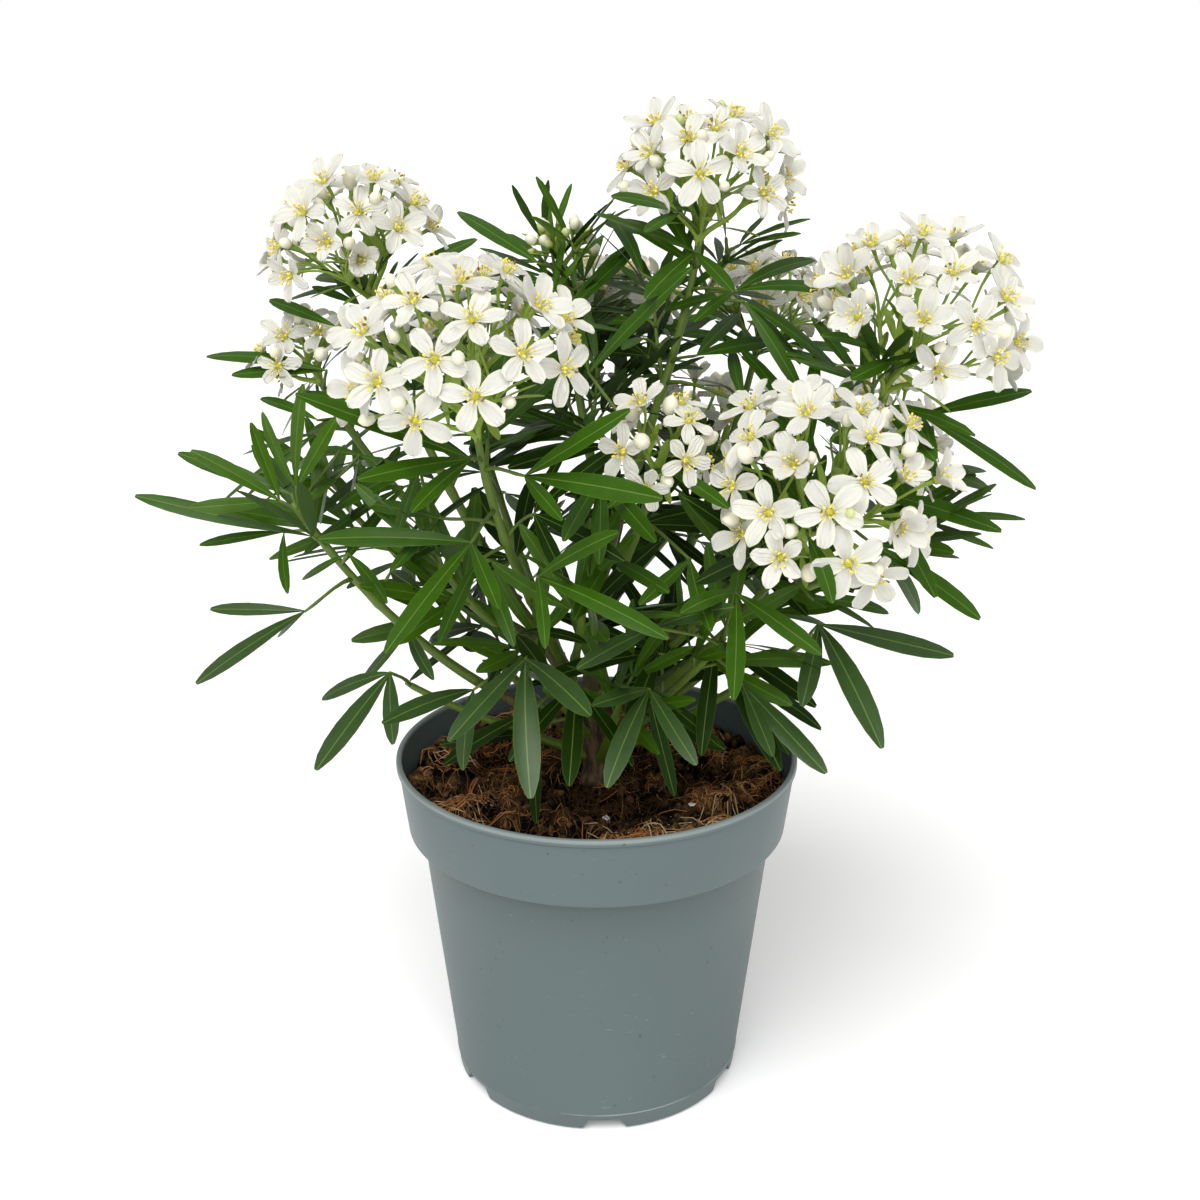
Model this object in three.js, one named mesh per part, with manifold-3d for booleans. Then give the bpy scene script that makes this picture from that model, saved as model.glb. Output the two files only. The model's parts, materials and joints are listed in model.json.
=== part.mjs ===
// Mexican orange blossom, a small flowering shrub in a plastic nursery pot.
// Millimetres, +Z up. The origin is the centre of the pot's flat underside.
// Heights of the plant are measured from the soil, and azimuths turn from +X towards +Y.

import * as THREE from 'three';
import { mergeVertices } from 'three/addons/utils/BufferGeometryUtils.js';
import Module from 'manifold-3d';

const wasm = await Module();
wasm.setup();

// Pot
const POT_HEIGHT = 146.4;
const POT_SIDES = 32;
const WALL = 1.6;
const FOOT_RADIUS = 61.8;
const WAIST_RADIUS = 75;
const COLLAR_HEIGHT = 31.1;
const COLLAR_RADIUS = 80.5;
const COLLAR_TOP_RADIUS = 84;
const LIP_RADIUS = 85;
const LIP_HEIGHT = 3;
const LIP_WIDTH = 2.4;
const LIP_STEP = 0.5;
const FOOT_CHANNEL = { inner: 34, outer: 57, slope: 3, depth: 4.5 };
const NOTCHES = 6;
const NOTCH_TURN = 3;
const NOTCH = { width: 19, height: 4, depth: 12, slant: 3, past: 2 };
const DRAIN = { radius: 5, at: 46, sides: 6, length: 20 };

// Soil
const SOIL_LEVEL = 133;
const SOIL_FLAT = 15;
const SOIL_LUMP = 0.9;
const SOIL_EDGE_DROP = 2;
const SOIL_RINGS = [56, 34];

// Gap between pieces that meet, and the room that a leaf needs round itself
const GAP = 0.3;
const ROOM = 0.45;

// Trunk
const TRUNK = { height: 42, lean: 3, leanAzimuth: 205, foot: 8, shaft: 5.4, fork: 4.6, flare: 0.22 };
const TRUNK_SIDES = 8;
const TRUNK_STEPS = 7;
const TRUNK_GAP = GAP / Math.cos(Math.PI / TRUNK_SIDES);

// Limbs and leaves
const BOUGH_SIDES = 5;
const BOUGH_STEPS = 3;
const BOUGH_GAP = GAP / Math.cos(Math.PI / BOUGH_SIDES);
const TWIG_STEPS = 4;
const STEM_TIP_RADIUS = 1.4;
const TWIG_SIDES = 3;
const STEM_FOOT_RADIUS = [1.7, 2.9];
const LONGEST_STEM = 190;
const STEM_HOLD = 0.36;
const LEAF_STALK_RADIUS = 1;
const STALK_SWELL = 0.12;
const STALK_SUNK = 1;
const LEAF_THICKNESS = 1.5;
const LEAF_WIDTH = 0.2;
const LEAF_ARCH = 0.035;
const LEAF_DROOP = 0.1;
const LEAFLET_FAN = 37;
const LEAFLET_WIDEST = 0.58;
const SIDE_LEAFLET = 0.86;
const HUB = { radius: 4, back: 60 };

// Leaf pairs, from the top of a shoot down: how far below its tip the first stands, the space to the
// next and by how much it grows, and a quarter turn about the stem from each to the next
const BARE_MARGIN = 0.04;
const PAIRS = { belowBloom: 7, belowTip: 4, space: 19, growth: 7, scatter: 3, turn: 90, twist: 14 };

// How leaves change from the top pair of a shoot to its lowest: their climb off the stem, the length
// of their middle leaflet and of their stalk, and how much their own weight turns them down
const LEAF_CLIMB = [34, 20];
const LEAF_LENGTH = [47, 54];
const LEAF_STALK = [14, 19];
const LEAF_SINK = [0.22, 0.5];
const SCATTER = { climb: 7, length: 5, stalk: 2, sink: 0.12 };

// Leaves face up, and lean outwards and towards the side where the light falls in
const LEAF_LEAN = 0.25;
const LIGHT = new THREE.Vector3(-0.05, -0.34, 1);

// The top pairs of a shoot without flowers are young: steep and short
const YOUNG = { pairs: 2, climb: 60, length: 36, growth: 9, stalk: 9, sink: 0.05 };

// Blossom
const PETALS = 5;
const FLOWER_RADIUS = 12.5;
const FLOWER_WAIST = 0.45;
const FLOWER_CUP = 2.2;
const FLOWER_EYE = { top: 0.6, back: 1.8, stalk: 2.2 };
const FLOWER_STALK_RADIUS = 1;
const GOLDEN_ANGLE = 137.508;

// A head is a dome on its axis, raised above the stem's tip, a little past a half ball and flatter than
// one. Its shares are of its spread; wander is the scatter of its flowers' depth.
const DOME = { raise: 0.52, past: 1.12, flatten: 0.16, wander: 0.06, roots: 0.35, lift: 0.3 };

const DICE_RANGE = 2 ** 32;
const UP = new THREE.Vector3(0, 0, 1);
const radians = THREE.MathUtils.degToRad;
const degrees = THREE.MathUtils.radToDeg;
const mix = THREE.MathUtils.lerp;

// Every shoot is one stem from where it leaves its parent to its tip. Its foot is a bare bough, and
// from the share `bare` upwards it carries leaf pairs and, where `bloom` is given, a head of flowers.
// from, at: the parent, and how far along it the shoot leaves (on the trunk, a share of its height).
// azimuth, reach, height: where the tip is. leaves, arrives: the stem's climb there, in degrees.
// roll: the turn about the stem of its top leaf pair. size: leaf size against the usual.
// lift: how much steeper than usual its leaves stand. neck: how much lower than usual its top pair is.
// shed: the share of it that has lost its leaves.
const SHOOTS = [
  { name: 'top', from: 'trunk', at: 1, azimuth: 14, reach: 42, height: 232,
    leaves: 90, arrives: 84, bare: 0.38, pairs: 5, roll: 20, neck: 11,
    bloom: { flowers: 22, spread: 31, axis: [30, 84] } },
  { name: 'left_front', from: 'trunk', at: 0.57, azimuth: 237, reach: 80, height: 174,
    leaves: 62, arrives: 80, bare: 0.26, pairs: 6, roll: 35,
    bloom: { flowers: 26, spread: 38, axis: [235, 74] } },
  { name: 'left_back', from: 'trunk', at: 0.63, azimuth: 157, reach: 102, height: 204,
    leaves: 56, arrives: 76, bare: 0.36, pairs: 6, roll: 60,
    bloom: { flowers: 22, spread: 33, axis: [184, 72] } },
  { name: 'right_top', from: 'trunk', at: 0.66, azimuth: 353, reach: 116, height: 179,
    leaves: 52, arrives: 70, bare: 0.34, pairs: 6, roll: 75, shed: 0.6,
    bloom: { flowers: 26, spread: 38, axis: [350, 70] } },
  { name: 'right_front', from: 'trunk', at: 0.41, azimuth: 329, reach: 94, height: 127,
    leaves: 45, arrives: 62, bare: 0.26, pairs: 5, roll: 50,
    bloom: { flowers: 26, spread: 38, axis: [285, 54] } },
  { name: 'back_middle', from: 'trunk', at: 0.59, azimuth: 84, reach: 92, height: 174,
    leaves: 60, arrives: 78, bare: 0.34, pairs: 5, roll: 30,
    bloom: { flowers: 16, spread: 25, axis: [88, 76] } },
  { name: 'back_right', from: 'trunk', at: 0.37, azimuth: 46, reach: 102, height: 176,
    leaves: 52, arrives: 72, bare: 0.36, pairs: 5, roll: 80,
    bloom: { flowers: 16, spread: 26, axis: [50, 72] } },
  { name: 'back_left', from: 'trunk', at: 0.41, azimuth: 120, reach: 116, height: 150,
    leaves: 45, arrives: 66, bare: 0.32, pairs: 5, roll: 45,
    bloom: { flowers: 18, spread: 28, axis: [118, 64] } },
  { name: 'left_leafy', from: 'trunk', at: 0.5, azimuth: 190, reach: 121, height: 128,
    leaves: 22, arrives: 58, bare: 0.34, pairs: 6, roll: 80, size: 1.04, shed: 0.6 },
  { name: 'centre', from: 'top', at: 0.16, azimuth: 296, reach: 50, height: 150,
    leaves: 50, arrives: 74, bare: 0.24, pairs: 5, roll: 60,
    bloom: { flowers: 8, spread: 18, axis: [290, 55] } },
  { name: 'bud_top', from: 'top', at: 0.3, azimuth: 108, reach: 45, height: 213,
    leaves: 62, arrives: 80, bare: 0.26, pairs: 5, roll: 10, lift: 22,
    bloom: { flowers: 5, spread: 13, axis: [100, 78] } },
  { name: 'left_side', from: 'left_back', at: 0.28, azimuth: 161, reach: 124, height: 166,
    leaves: 35, arrives: 60, bare: 0.26, pairs: 4, roll: 20, shed: 0.5,
    bloom: { flowers: 8, spread: 18, axis: [175, 60] } },
  { name: 'back_low_right', from: 'back_middle', at: 0.25, azimuth: 65, reach: 124, height: 114,
    leaves: 30, arrives: 58, bare: 0.3, pairs: 4, roll: 40,
    bloom: { flowers: 16, spread: 26, axis: [62, 55] } },
  { name: 'right_back', from: 'back_right', at: 0.28, azimuth: 28, reach: 136, height: 128,
    leaves: 30, arrives: 60, bare: 0.3, pairs: 4, roll: 70, shed: 0.75,
    bloom: { flowers: 12, spread: 23, axis: [25, 55] } },
  { name: 'right_leafy', from: 'right_top', at: 0.26, azimuth: 2, reach: 130, height: 114,
    leaves: 28, arrives: 52, bare: 0.3, pairs: 5, roll: 60, shed: 0.8 },
  { name: 'back_left_leafy', from: 'back_left', at: 0.22, azimuth: 148, reach: 138, height: 106,
    leaves: 30, arrives: 48, bare: 0.3, pairs: 5, roll: 30, shed: 0.55 },
  { name: 'inner_left', from: 'left_front', at: 0.12, azimuth: 208, reach: 70, height: 108,
    leaves: 46, arrives: 60, bare: 0, pairs: 4, roll: 20 },
  { name: 'inner_front', from: 'left_front', at: 0.2, azimuth: 266, reach: 60, height: 104,
    leaves: 30, arrives: 60, bare: 0, pairs: 4, roll: 70 },
  { name: 'inner_right', from: 'right_top', at: 0.14, azimuth: 344, reach: 68, height: 112,
    leaves: 40, arrives: 62, bare: 0, pairs: 4, roll: 40 },
  { name: 'low_left', from: 'trunk', at: 0.2, azimuth: 198, reach: 81, height: 54,
    leaves: 30, arrives: 36, bare: 0, pairs: 3, roll: 85, shed: 1 },
  { name: 'low_front_left', from: 'trunk', at: 0.43, azimuth: 238, reach: 48, height: 74,
    leaves: 42, arrives: 60, bare: 0, pairs: 3, roll: 60 },
  { name: 'low_front', from: 'trunk', at: 0.15, azimuth: 285, reach: 44, height: 58,
    leaves: 40, arrives: 50, bare: 0, pairs: 2, roll: 50 },
  { name: 'low_front_right', from: 'trunk', at: 0.29, azimuth: 315, reach: 70, height: 82,
    leaves: 42, arrives: 50, bare: 0, pairs: 3, roll: 60 },
  { name: 'low_right', from: 'trunk', at: 0.18, azimuth: 338, reach: 92, height: 78,
    leaves: 34, arrives: 45, bare: 0, pairs: 3, roll: 20, shed: 1 },
  { name: 'low_back_right', from: 'trunk', at: 0.18, azimuth: 28, reach: 96, height: 70,
    leaves: 34, arrives: 45, bare: 0, pairs: 3, roll: 60, shed: 0.7 },
  { name: 'low_back', from: 'trunk', at: 0.18, azimuth: 88, reach: 100, height: 66,
    leaves: 32, arrives: 45, bare: 0, pairs: 3, roll: 20 },
  { name: 'low_back_left', from: 'trunk', at: 0.18, azimuth: 140, reach: 92, height: 66,
    leaves: 32, arrives: 45, bare: 0, pairs: 3, roll: 70 },
];

// The leaves that draw the crown's edge, over the rim and at its furthest tips.
// on, along: their shoot, and how far along its stem. hub: azimuth, reach and height of the point that
// the leaflets spread from. toward, pitch: where the middle leaflet points. length: its length.
const EDGE_LEAVES = [
  { on: 'left_leafy', along: 0.86, hub: [188, 126, 116], toward: 176, pitch: 12, length: 62 },
  { on: 'left_leafy', along: 0.74, hub: [193, 118, 85], toward: 190, pitch: -28, length: 54 },
  { on: 'low_left', along: 0.97, hub: [201, 91, 60], toward: 214, pitch: -42, length: 48 },
  { on: 'left_front', along: 0.66, hub: [232, 76, 123], toward: 238, pitch: -22, length: 56 },
  { on: 'low_front_left', along: 0.97, hub: [240, 58, 76], toward: 268, pitch: -66, length: 54 },
  { on: 'low_front', along: 0.97, hub: [294, 49, 60], toward: 300, pitch: -58, length: 42 },
  { on: 'low_front_right', along: 0.95, hub: [311, 79, 104], toward: 282, pitch: -68, length: 48 },
  { on: 'low_front_right', along: 0.8, hub: [316, 78, 64], toward: 335, pitch: -50, length: 46 },
  { on: 'low_right', along: 0.96, hub: [329, 98, 87], toward: 336, pitch: -56, length: 64 },
  { on: 'right_top', along: 0.92, hub: [351, 126, 165], toward: 348, pitch: -24, length: 56 },
  { on: 'right_leafy', along: 0.9, hub: [350, 117, 107], toward: 356, pitch: -26, length: 50 },
  { on: 'left_side', along: 0.88, hub: [169, 109, 171], toward: 168, pitch: 14, length: 60 },
];

// Seeded draws, so that the plant grows the same way every time
class Dice {
  constructor(seed) {
    this.state = (seed * 7919 + 12345) % DICE_RANGE;
  }

  next() {
    this.state = (this.state * 1664525 + 1013904223) % DICE_RANGE;
    return this.state / DICE_RANGE;
  }

  around(middle, spread) {
    return middle + spread * (2 * this.next() - 1);
  }
}

function heading(azimuth, climb) {
  const turn = radians(azimuth);
  const rise = radians(climb);
  return new THREE.Vector3(Math.cos(rise) * Math.cos(turn), Math.cos(rise) * Math.sin(turn), Math.sin(rise));
}

function place(azimuth, reach, height) {
  return heading(azimuth, 0).multiplyScalar(reach).setZ(height);
}

// Two directions square to an axis, the second turned a quarter turn on about it
function acrossAxis(axis) {
  const guide = Math.abs(axis.z) < 0.99 ? UP : new THREE.Vector3(0, 1, 0);
  const first = new THREE.Vector3().crossVectors(guide, axis).normalize();
  const second = new THREE.Vector3().crossVectors(axis, first);
  return [first, second];
}

function onCone(axis, turn, climb) {
  const [first, second] = acrossAxis(axis);
  const out = first.multiplyScalar(Math.cos(radians(turn)));
  out.addScaledVector(second, Math.sin(radians(turn)));
  return out.multiplyScalar(Math.cos(radians(climb))).addScaledVector(axis, Math.sin(radians(climb)));
}

// A stretch of a curve, as a curve of its own
class Stretch extends THREE.Curve {
  constructor(curve, start, end) {
    super();
    this.curve = curve;
    this.start = start;
    this.end = end;
  }

  getPoint(t) {
    return this.curve.getPoint(mix(this.start, this.end, t));
  }
}

// Solids

function toSolid(geometry) {
  const shell = geometry.clone();
  shell.deleteAttribute('normal');
  shell.deleteAttribute('uv');
  const merged = mergeVertices(shell, 1e-4);
  const mesh = new wasm.Mesh({
    numProp: 3,
    vertProperties: new Float32Array(merged.attributes.position.array),
    triVerts: new Uint32Array(merged.index.array),
  });
  return new wasm.Manifold(mesh);
}

function toGeometry(solid) {
  const mesh = solid.getMesh();
  const geometry = new THREE.BufferGeometry();
  geometry.setAttribute('position', new THREE.BufferAttribute(mesh.vertProperties, 3));
  geometry.setIndex(new THREE.BufferAttribute(mesh.triVerts, 1));
  geometry.computeVertexNormals();
  return geometry;
}

// The largest body alone: a loose scrap or a sealed hollow goes
function mainBody(solid) {
  return solid.decompose().reduce((kept, body) => (body.volume() > kept.volume() ? body : kept));
}

function fuse(solids) {
  return mainBody(solids.reduce((sum, solid) => sum.add(solid)));
}

// A cylinder bent along a curve, with its radius set by how far along it is
function limbGeometry(curve, radiusAt, sides, steps) {
  const geometry = new THREE.CylinderGeometry(1, 1, 1, sides, steps);
  const position = geometry.attributes.position;
  const rings = [];
  let side = acrossAxis(curve.getTangent(0))[0];
  for (let step = 0; step <= steps; step += 1) {
    const t = step / steps;
    const along = curve.getTangent(t);
    side = side.clone().addScaledVector(along, -side.dot(along)).normalize();
    const other = new THREE.Vector3().crossVectors(side, along);
    rings.push({ centre: curve.getPoint(t), radius: radiusAt(t), side, other });
  }
  for (let i = 0; i < position.count; i += 1) {
    const ring = rings[Math.round((position.getY(i) + 0.5) * steps)];
    const point = ring.centre.clone();
    point.addScaledVector(ring.side, ring.radius * position.getX(i));
    point.addScaledVector(ring.other, ring.radius * position.getZ(i));
    position.setXYZ(i, point.x, point.y, point.z);
  }
  return geometry;
}

// A flat double cone whose rim is drawn by a function: its poles are the middle of both faces
function rimmedGeometry(rim, top, bottom) {
  const geometry = new THREE.SphereGeometry(1, rim.length, 2);
  const position = geometry.attributes.position;
  const row = rim.length + 1;
  for (let i = 0; i < position.count; i += 1) {
    const level = Math.floor(i / row);
    const point = [top, rim[(i % row) % rim.length], bottom][level];
    position.setXYZ(i, point.x, point.y, point.z);
  }
  return geometry;
}

// A thin stalk with three sides: it swells just off its root and runs to a point, which ends inside
// what it carries
function stalkGeometry(root, end, radius) {
  const along = end.clone().sub(root).normalize();
  const [first, second] = acrossAxis(along);
  const collar = root.clone().lerp(end, STALK_SWELL);
  const rim = [0, 1, 2].map((corner) => {
    const angle = (corner * 2 * Math.PI) / TWIG_SIDES;
    const point = collar.clone().addScaledVector(first, radius * Math.cos(angle));
    return point.addScaledVector(second, radius * Math.sin(angle));
  });
  return rimmedGeometry(rim, end, root);
}

// Growth

function trunkCurve() {
  const top = place(TRUNK.leanAzimuth, TRUNK.lean, TRUNK.height);
  return new THREE.CubicBezierCurve3(
    new THREE.Vector3(0, 0, GAP),
    new THREE.Vector3(0, 0, TRUNK.height * STEM_HOLD),
    top.clone().setZ(TRUNK.height * (1 - STEM_HOLD)),
    top,
  );
}

function trunkRadius(t) {
  const flare = Math.max(0, 1 - t / TRUNK.flare) ** 2;
  return mix(TRUNK.shaft, TRUNK.fork, t) + (TRUNK.foot - TRUNK.shaft) * flare;
}

function shootCurve(shoot, start) {
  const tip = place(shoot.azimuth, shoot.reach, shoot.height);
  const away = degrees(Math.atan2(tip.y - start.y, tip.x - start.x));
  const hold = STEM_HOLD * tip.distanceTo(start);
  const first = start.clone().addScaledVector(heading(away, shoot.leaves), hold);
  const second = tip.clone().addScaledVector(heading(away, shoot.arrives), -hold);
  return new THREE.CubicBezierCurve3(start, first, second, tip);
}

// One leaf: a stalk from the stem to the hub, and leaflets that spread from the hub like fingers
function leafPlan(root, hub, toward, length) {
  const outward = hub.clone().setZ(0).normalize();
  const side = LIGHT.clone().addScaledVector(outward, LEAF_LEAN).cross(toward).normalize();
  const face = new THREE.Vector3().crossVectors(toward, side);
  return { root, hub, toward, side, face, length };
}

function pairedLeaves(shoot, curve, dice) {
  const plans = [];
  const stemLength = curve.getLength();
  const size = shoot.size ?? 1;
  const lowest = Math.max(shoot.bare + BARE_MARGIN, shoot.shed ?? 0);
  let down = (shoot.neck ?? 0) + (shoot.bloom ? PAIRS.belowBloom : PAIRS.belowTip);
  for (let pair = 0; pair < shoot.pairs; pair += 1) {
    const t = 1 - down / stemLength;
    const age = pair / (shoot.pairs - 1);
    const young = !shoot.bloom && pair < YOUNG.pairs;
    const turn = shoot.roll + PAIRS.turn * pair + dice.around(0, PAIRS.twist);
    down += dice.around(PAIRS.space + PAIRS.growth * pair, PAIRS.scatter);
    for (const opposite of [0, 180]) {
      const steepness = (shoot.lift ?? 0) + (young ? YOUNG.climb : mix(...LEAF_CLIMB, age));
      const climb = dice.around(steepness, SCATTER.climb);
      const usual = young ? YOUNG.length + YOUNG.growth * pair : mix(...LEAF_LENGTH, age);
      const length = size * dice.around(usual, SCATTER.length);
      const stalk = size * dice.around(young ? YOUNG.stalk : mix(...LEAF_STALK, age), SCATTER.stalk);
      const sink = dice.around(young ? YOUNG.sink : mix(...LEAF_SINK, age), SCATTER.sink);
      if (t > lowest) {
        const root = curve.getPoint(t);
        const out = onCone(curve.getTangent(t), turn + opposite, climb);
        const hub = root.clone().addScaledVector(out, stalk);
        const toward = out.clone().addScaledVector(UP, -sink).normalize();
        plans.push(leafPlan(root, hub, toward, length));
      }
    }
  }
  return plans;
}

function edgeLeaves(shoot, curve) {
  return EDGE_LEAVES.filter((leaf) => leaf.on === shoot.name).map((leaf) =>
    leafPlan(curve.getPoint(leaf.along), place(...leaf.hub), heading(leaf.toward, leaf.pitch), leaf.length));
}

// A head of flowers: stalks part from the end of the stem, the outer ones lower down, and bring their
// flowers up to one dome
function flowerPlans(shoot, curve, dice) {
  const { flowers, spread } = shoot.bloom;
  const axis = heading(...shoot.bloom.axis);
  const centre = curve.getPoint(1).addScaledVector(axis, DOME.raise * spread);
  const plans = [];
  for (let i = 0; i < flowers; i += 1) {
    const height = 1 - (DOME.past * (i + 0.5)) / flowers;
    const tilt = degrees(Math.acos(height));
    const out = onCone(axis, GOLDEN_ANGLE * i, 90 - tilt);
    const spot = centre.clone().addScaledVector(out, spread * dice.around(1, DOME.wander));
    spot.addScaledVector(axis, -DOME.flatten * spread * height);
    const face = out.clone().addScaledVector(UP, DOME.lift).normalize();
    const twist = dice.around(180 / PETALS, 180 / PETALS);
    const root = curve.getPoint(1 - (DOME.roots * spread * tilt) / (90 * curve.getLength()));
    plans.push({ spot, face, twist, root });
  }
  return plans;
}

function grow(shoot, parents) {
  const parent = parents[shoot.from];
  const start = parent.curve.getPoint(shoot.at);
  if (shoot.from === 'trunk' && shoot.at === 1) {
    start.z += GAP;
  }
  const curve = shootCurve(shoot, start);
  const dice = new Dice(SHOOTS.indexOf(shoot) + 1);
  const leaves = [...edgeLeaves(shoot, curve), ...pairedLeaves(shoot, curve, dice)];
  const flowers = shoot.bloom ? flowerPlans(shoot, curve, dice) : [];
  const footRadius = mix(...STEM_FOOT_RADIUS, Math.min(1, curve.getLength() / LONGEST_STEM));
  const radiusAt = (t) => mix(footRadius, STEM_TIP_RADIUS, t);
  return { shoot, curve, radiusAt, leaves, flowers };
}

// Pieces of a mass, each as a function of the room that it is to leave round itself

function leafSolids(plan, room) {
  const { root, hub, toward, side, face, length } = plan;
  const point = (angle, out, drop) => {
    const way = toward.clone().multiplyScalar(Math.cos(radians(angle)));
    way.addScaledVector(side, Math.sin(radians(angle)));
    return hub.clone().addScaledVector(way, out).addScaledVector(face, -drop);
  };
  const notch = (angle) => point(angle, HUB.radius + room, 0);
  const rim = [notch(-LEAFLET_FAN - HUB.back)];
  for (const angle of [-LEAFLET_FAN, 0, LEAFLET_FAN]) {
    const reach = length * (angle === 0 ? 1 : SIDE_LEAFLET) + room;
    const half = 0.5 * length * LEAF_WIDTH + room;
    const widest = reach * LEAFLET_WIDEST;
    const off = degrees(Math.atan(half / widest));
    const edge = (side) => point(angle + side * off, Math.hypot(widest, half), LEAF_ARCH * length);
    rim.push(edge(-1), point(angle, reach, LEAF_DROOP * length), edge(1));
    rim.push(notch(angle + (angle === LEAFLET_FAN ? HUB.back : LEAFLET_FAN / 2)));
  }
  const lift = 0.5 * LEAF_THICKNESS + room;
  const blade = rimmedGeometry(rim, point(0, 0, -lift), point(0, 0, lift));
  const stalk = stalkGeometry(root, point(0, STALK_SUNK, 0), LEAF_STALK_RADIUS + room);
  return { blade: toSolid(blade), stalk: toSolid(stalk) };
}

function flowerSolids(flower, room) {
  const { spot, face, twist, root } = flower;
  const [first, second] = acrossAxis(face);
  const radius = FLOWER_RADIUS + room;
  const rim = [];
  for (let i = 0; i < 2 * PETALS; i += 1) {
    const angle = radians(twist + (180 * i) / PETALS);
    const out = i % 2 === 0 ? radius : radius * FLOWER_WAIST;
    const point = spot.clone().addScaledVector(first, out * Math.cos(angle));
    point.addScaledVector(second, out * Math.sin(angle));
    rim.push(point.addScaledVector(face, i % 2 === 0 ? FLOWER_CUP : 0));
  }
  const top = spot.clone().addScaledVector(face, FLOWER_EYE.top + room);
  const back = spot.clone().addScaledVector(face, -FLOWER_EYE.back - room);
  const star = rimmedGeometry(rim, top, back);
  const joint = spot.clone().addScaledVector(first, FLOWER_EYE.stalk);
  const stalk = stalkGeometry(root, joint, FLOWER_STALK_RADIUS + room);
  return { blade: toSolid(star), stalk: toSolid(stalk) };
}

// What stands already, so that no leaf or flower comes too near another piece
const standing = [];

function boxOf(solid) {
  const box = solid.boundingBox();
  return new THREE.Box3(new THREE.Vector3(...box.min), new THREE.Vector3(...box.max));
}

function stand(owner, solid, isBlade = false) {
  standing.push({ owner, solid, isBlade, box: boxOf(solid) });
}

// A blade keeps clear of every other blade and of all that isn't its own shoot, and a stalk of the latter
function isFree(owner, solid, isBlade) {
  const box = boxOf(solid);
  const near = standing.filter((piece) => piece.box.intersectsBox(box));
  const others = near.filter((piece) => piece.owner !== owner || (isBlade && piece.isBlade));
  return others.every((piece) => piece.solid.intersect(solid).isEmpty());
}

function addIfFree(owner, solids, makeSolids) {
  const roomy = makeSolids(ROOM);
  if (!isFree(owner, roomy.blade, true) || !isFree(owner, roomy.stalk, false)) {
    return;
  }
  const { blade, stalk } = makeSolids(0);
  stand(owner, blade, true);
  stand(owner, stalk);
  solids.push(blade, stalk);
}

// Materials

function finish(color, roughness) {
  return new THREE.MeshStandardMaterial({ color, roughness, metalness: 0 });
}

const potPlastic = finish(0x6e7e7d, 0.45);
const soilFinish = finish(0x4a3729, 0.95);
const bark = finish(0x6b5a40, 0.85);
const leafAndBlossom = finish(0x2f5a2c, 0.5);

function named(name, solid, material) {
  const mesh = new THREE.Mesh(toGeometry(solid), material);
  mesh.name = name;
  return mesh;
}

// Pot and soil

function insideRadius(z) {
  const shoulder = POT_HEIGHT - COLLAR_HEIGHT + WALL;
  if (z > shoulder) {
    return mix(COLLAR_RADIUS, COLLAR_TOP_RADIUS, (z - shoulder) / (COLLAR_HEIGHT - WALL)) - WALL;
  }
  return mix(FOOT_RADIUS, WAIST_RADIUS, z / shoulder) - WALL;
}

function potSolid() {
  const shoulder = POT_HEIGHT - COLLAR_HEIGHT;
  const lipFoot = POT_HEIGHT - LIP_HEIGHT;
  const { inner, outer, slope, depth } = FOOT_CHANNEL;
  const profile = [
    [0, 0],
    [inner, 0],
    [inner + slope, depth],
    [outer - slope, depth],
    [outer, 0],
    [FOOT_RADIUS, 0],
    [WAIST_RADIUS, shoulder],
    [COLLAR_RADIUS, shoulder],
    [COLLAR_TOP_RADIUS, lipFoot - LIP_STEP],
    [LIP_RADIUS, lipFoot],
    [LIP_RADIUS, POT_HEIGHT],
    [LIP_RADIUS - LIP_WIDTH, POT_HEIGHT],
    [COLLAR_RADIUS - WALL, shoulder + WALL],
    [WAIST_RADIUS - WALL, shoulder + WALL],
    [insideRadius(depth + WALL), depth + WALL],
    [inner, depth + WALL],
    [inner - slope, WALL],
    [0, WALL],
  ];
  const lathe = new THREE.LatheGeometry(profile.map(([r, z]) => new THREE.Vector2(r, z)), POT_SIDES);
  lathe.rotateX(Math.PI / 2);
  let pot = toSolid(lathe);
  for (let i = 0; i < NOTCHES; i += 1) {
    const turn = radians((360 * i) / NOTCHES - 90 + NOTCH_TURN);
    pot = pot.subtract(toSolid(notchGeometry().rotateZ(turn)));
    pot = pot.subtract(toSolid(drainGeometry().rotateZ(turn)));
  }
  return pot;
}

// A slot through the foot's ring, narrower at its top
function notchGeometry() {
  const half = NOTCH.width / 2;
  const outline = new THREE.Shape();
  outline.moveTo(-half, -NOTCH.past);
  outline.lineTo(half, -NOTCH.past);
  outline.lineTo(half - NOTCH.slant, NOTCH.height);
  outline.lineTo(NOTCH.slant - half, NOTCH.height);
  const notch = new THREE.ExtrudeGeometry(outline, { depth: NOTCH.depth, bevelEnabled: false });
  notch.rotateX(Math.PI / 2);
  notch.rotateZ(Math.PI / 2);
  return notch.translate(FOOT_RADIUS + NOTCH.past - NOTCH.depth, 0, 0);
}

function drainGeometry() {
  const drain = new THREE.CylinderGeometry(DRAIN.radius, DRAIN.radius, DRAIN.length, DRAIN.sides);
  drain.rotateX(Math.PI / 2);
  return drain.translate(DRAIN.at, 0, 0);
}

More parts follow.
